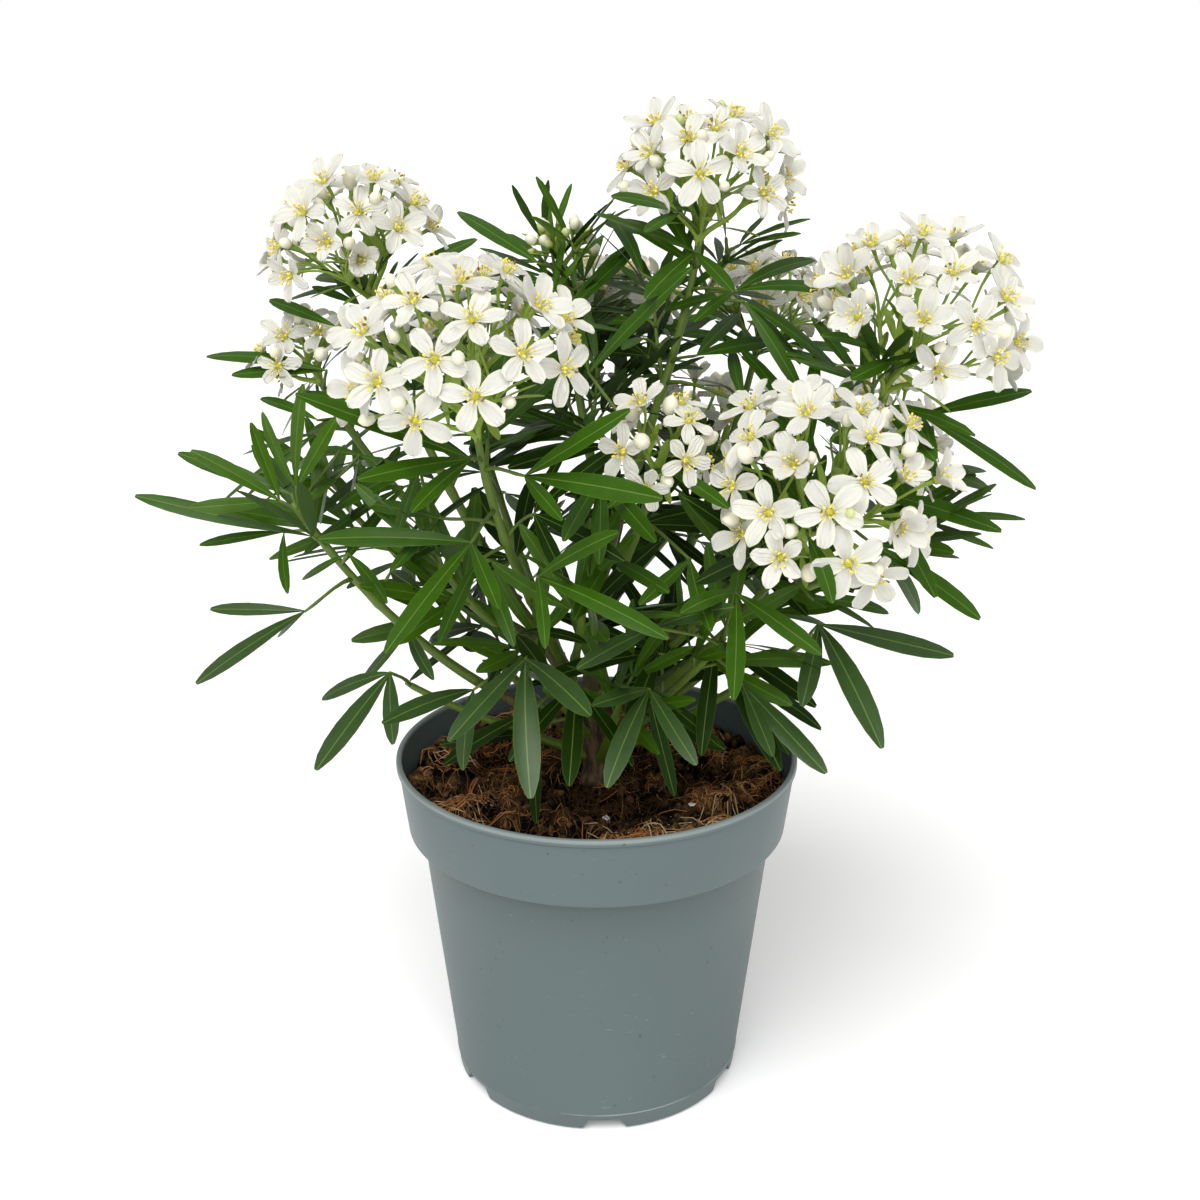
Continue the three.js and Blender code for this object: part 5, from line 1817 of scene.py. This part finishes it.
def head_rays(stem):
    """The flowers of a head, in groups that share a branch: each goes to the nearest of a few rays."""
    bloom = stem.shoot.bloom
    axis, centre = dome(stem.shoot, stem.curve)
    count = max(3, round(bloom.flowers / FLOWERS_ON_RAY))
    rays = np.array([out for out, _, _ in spiral(axis, count, RAYS_PAST)])
    nearest = (unit(gathered(stem.flowers, "spot") - centre) @ rays.T).argmax(1)
    groups = [[flower for flower, ray in zip(stem.flowers, nearest) if ray == i] for i in range(count)]
    return [group for group in groups if group]


def add_ray(batch, axis, group):
    """One branch of a head and the stalks of its flowers, each with a calyx. Gives the stalks' root, their
    fork and the branch's direction."""
    spots, faces = gathered(group, "spot"), gathered(group, "face")
    middle, root = spots.mean(0), gathered(group, "root").mean(0)
    fork, way = mix(root, middle, FORK_SHARE), unit(middle - root)
    ray = bent(root[None], axis[None], fork[None], way[None], 0.4, STALK_RINGS)
    add_tubes(batch, ray, np.linspace(1.25, 0.95, STALK_RINGS), 7)
    backs = np.array([each.scale * (1 if each.opened else BUD_DEPTH) for each in group])
    backs = spots - backs[:, None] * faces
    starts, ways = np.repeat(fork[None], len(group), 0), np.repeat(way[None], len(group), 0)
    stalks = bent(starts - 0.6 * ways, ways, backs, faces, 0.38, STALK_RINGS)
    add_tubes(batch, stalks, (0.85, 0.66, 0.56, 0.52, 0.52, 0.56, 0.72, 1.0), 6)
    add_tubes(batch, beads(backs, faces, (-0.5, 0.1, 0.7)), (0.7, 1.5, 1.75), 8)
    return root, fork, way


def make_flower_stalks(settings):
    """Forked stalks: each ray leaves the stem, forks, and carries a few flowers, with bracts below and at
    its fork."""
    batch = Batch()
    base, along = [], []
    for stem in grown_stems():
        for group in head_rays(stem) if stem.shoot.bloom else ():
            root, fork, way = add_ray(batch, stem.curve.tangent(1), group)
            for side in (-1, 1):
                base += [fork, mix(root, fork, 0.6)]
                along += [unit(rise * way + side * 0.6 * out) for rise, out in zip((0.75, 0.5), across(way))]
    base, along = np.array(base), np.array(along)
    count = len(base)
    length = np.random.default_rng(41).uniform(10, 20, count)
    shape = leaf_shape(1.3, 0.3, 0.09, LEAF_STATIONS[::2])
    points = blade_points(shape, base, along, across(along)[0], length, 0.12 * length, 0.1, 0.3, 0.1,
                          np.zeros(count), 0.3)
    add_blades(batch, shape, points, np.zeros((count, 4), int))
    finish = soft_finish("flower_stalk", settings.blossom.stalk, 0.5, 0.14, 0.2)
    plant_piece(batch, "flower_stalks", [finish], settings, crease=75)


# Stage

# The floor's level, in millimetres, is just under the pot
FLOOR_LEVEL = -0.5


def studio_world(strength):
    """Even light from all round, before a plain white backdrop."""
    world = bpy.data.worlds.new("studio")
    world.use_nodes = True
    nodes, links = world.node_tree.nodes, world.node_tree.links
    nodes.clear()
    both = nodes.new("ShaderNodeMixShader")
    links.new(nodes.new("ShaderNodeLightPath").outputs["Is Camera Ray"], both.inputs[0])
    for i, power in enumerate((strength, 1.0), 1):
        background = nodes.new("ShaderNodeBackground")
        background.inputs["Color"].default_value = (1, 1, 1, 1)
        background.inputs["Strength"].default_value = power
        links.new(background.outputs[0], both.inputs[i])
    links.new(both.outputs[0], nodes.new("ShaderNodeOutputWorld").inputs["Surface"])
    return world


def add_light(name, location, strength, softness):
    """A soft light that comes from its location's direction."""
    light = bpy.data.lights.new(name, "SUN")
    light.energy = strength
    light.angle = softness
    lamp = bpy.data.objects.new(name, light)
    bpy.context.scene.collection.objects.link(lamp)
    lamp.location = location
    lamp.rotation_euler = Vector(location).to_track_quat("Z", "Y").to_euler()


def make_stage(settings):
    """The floor, three soft lights, the world and the camera."""
    stage = settings.stage
    scene = bpy.context.scene
    half = 0.5 * stage.floor_size / MM
    batch = Batch()
    corners = [(x, y, FLOOR_LEVEL) for x, y in ((-half, -half), (half, -half), (half, half), (-half, half))]
    batch.add(np.array([corners]), (np.array([[0, 1, 2, 3]]), 0))
    floor = batch.to_object("floor", [floor_finish(stage)])
    add_light("key_light", (-0.45, -1.2, 1.8), stage.key, stage.key_softness)
    add_light("fill_light", (0.5, -1.6, 0.25), stage.fill, stage.fill_softness)
    add_light("dome_light", (0, -0.2, 2), stage.dome, stage.dome_softness)
    scene.world = studio_world(stage.sky)
    scene.view_settings.view_transform = "Standard"
    camera = bpy.data.objects.new("camera", bpy.data.cameras.new("camera"))
    scene.collection.objects.link(camera)
    camera.data.lens = stage.lens
    camera.location = (stage.camera_side, -stage.distance, stage.camera_height)
    camera.rotation_euler = (math.pi / 2 - stage.pitch, 0, 0)
    scene.camera = camera


# Operators and panel


class ORANGE_BLOSSOM_OT_pot(bpy.types.Operator):
    """Makes the nursery pot with its lip, collar and drain notches"""

    bl_idname = "orange_blossom.pot"
    bl_label = "Pot"
    bl_options = {"REGISTER", "UNDO"}

    def execute(self, context):
        make_pot(context.scene.orange_blossom)
        return {"FINISHED"}


class ORANGE_BLOSSOM_OT_compost(bpy.types.Operator):
    """Fills the pot with compost, coir fibres and crumbs"""

    bl_idname = "orange_blossom.compost"
    bl_label = "Compost"
    bl_options = {"REGISTER", "UNDO"}

    def execute(self, context):
        make_compost(context.scene.orange_blossom)
        return {"FINISHED"}


class ORANGE_BLOSSOM_OT_bark(bpy.types.Operator):
    """Makes the woody limbs with their bark"""

    bl_idname = "orange_blossom.bark"
    bl_label = "Trunk and boughs"
    bl_options = {"REGISTER", "UNDO"}

    def execute(self, context):
        make_bark(context.scene.orange_blossom)
        return {"FINISHED"}


class ORANGE_BLOSSOM_OT_stems(bpy.types.Operator):
    """Makes the green stems and the leaf stalks"""

    bl_idname = "orange_blossom.stems"
    bl_label = "Stems"
    bl_options = {"REGISTER", "UNDO"}

    def execute(self, context):
        make_stems(context.scene.orange_blossom)
        make_leaf_stalks(context.scene.orange_blossom)
        return {"FINISHED"}


class ORANGE_BLOSSOM_OT_leaves(bpy.types.Operator):
    """Makes the leaflets of shoots and twigs"""

    bl_idname = "orange_blossom.leaves"
    bl_label = "Leaves"
    bl_options = {"REGISTER", "UNDO"}

    def execute(self, context):
        make_leaves(context.scene.orange_blossom)
        return {"FINISHED"}


class ORANGE_BLOSSOM_OT_flowers(bpy.types.Operator):
    """Makes petals, stamens and hearts"""

    bl_idname = "orange_blossom.flowers"
    bl_label = "Flowers"
    bl_options = {"REGISTER", "UNDO"}

    def execute(self, context):
        make_petals(context.scene.orange_blossom)
        make_flower_hearts(context.scene.orange_blossom)
        return {"FINISHED"}


class ORANGE_BLOSSOM_OT_buds(bpy.types.Operator):
    """Makes buds, forked stalks and bracts"""

    bl_idname = "orange_blossom.buds"
    bl_label = "Buds and stalks"
    bl_options = {"REGISTER", "UNDO"}

    def execute(self, context):
        make_buds(context.scene.orange_blossom)
        make_flower_stalks(context.scene.orange_blossom)
        return {"FINISHED"}


class ORANGE_BLOSSOM_OT_stage(bpy.types.Operator):
    """Makes the floor, the lights and the camera"""

    bl_idname = "orange_blossom.stage"
    bl_label = "Stage"
    bl_options = {"REGISTER", "UNDO"}

    def execute(self, context):
        make_stage(context.scene.orange_blossom)
        return {"FINISHED"}


OPERATORS = [
    ORANGE_BLOSSOM_OT_pot,
    ORANGE_BLOSSOM_OT_compost,
    ORANGE_BLOSSOM_OT_bark,
    ORANGE_BLOSSOM_OT_stems,
    ORANGE_BLOSSOM_OT_leaves,
    ORANGE_BLOSSOM_OT_flowers,
    ORANGE_BLOSSOM_OT_buds,
    ORANGE_BLOSSOM_OT_stage,
]


class ORANGE_BLOSSOM_PT_panel(bpy.types.Panel):
    """The steps of the plant, in the 3D view's sidebar."""

    bl_label = "Orange Blossom"
    bl_space_type = "VIEW_3D"
    bl_region_type = "UI"
    bl_category = "Orange Blossom"

    def draw(self, context):
        for operator in OPERATORS:
            self.layout.operator(operator.bl_idname)


GROUPS = [PotSettings, CompostSettings, StemSettings, LeafSettings, BlossomSettings, StageSettings,
          OrangeBlossomSettings]
CLASSES = [*GROUPS, *OPERATORS, ORANGE_BLOSSOM_PT_panel]


def register():
    """Adds the settings, the operators and the panel."""
    for each in CLASSES:
        bpy.utils.register_class(each)
    bpy.types.Scene.orange_blossom = PointerProperty(type=OrangeBlossomSettings)


def unregister():
    """Takes out what register added."""
    del bpy.types.Scene.orange_blossom
    for each in reversed(CLASSES):
        bpy.utils.unregister_class(each)


def main():
    """Builds the plant and its stage."""
    register()
    for operator in OPERATORS:
        getattr(bpy.ops.orange_blossom, operator.bl_idname.split(".")[1])()
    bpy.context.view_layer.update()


if __name__ == "__main__":
    main()
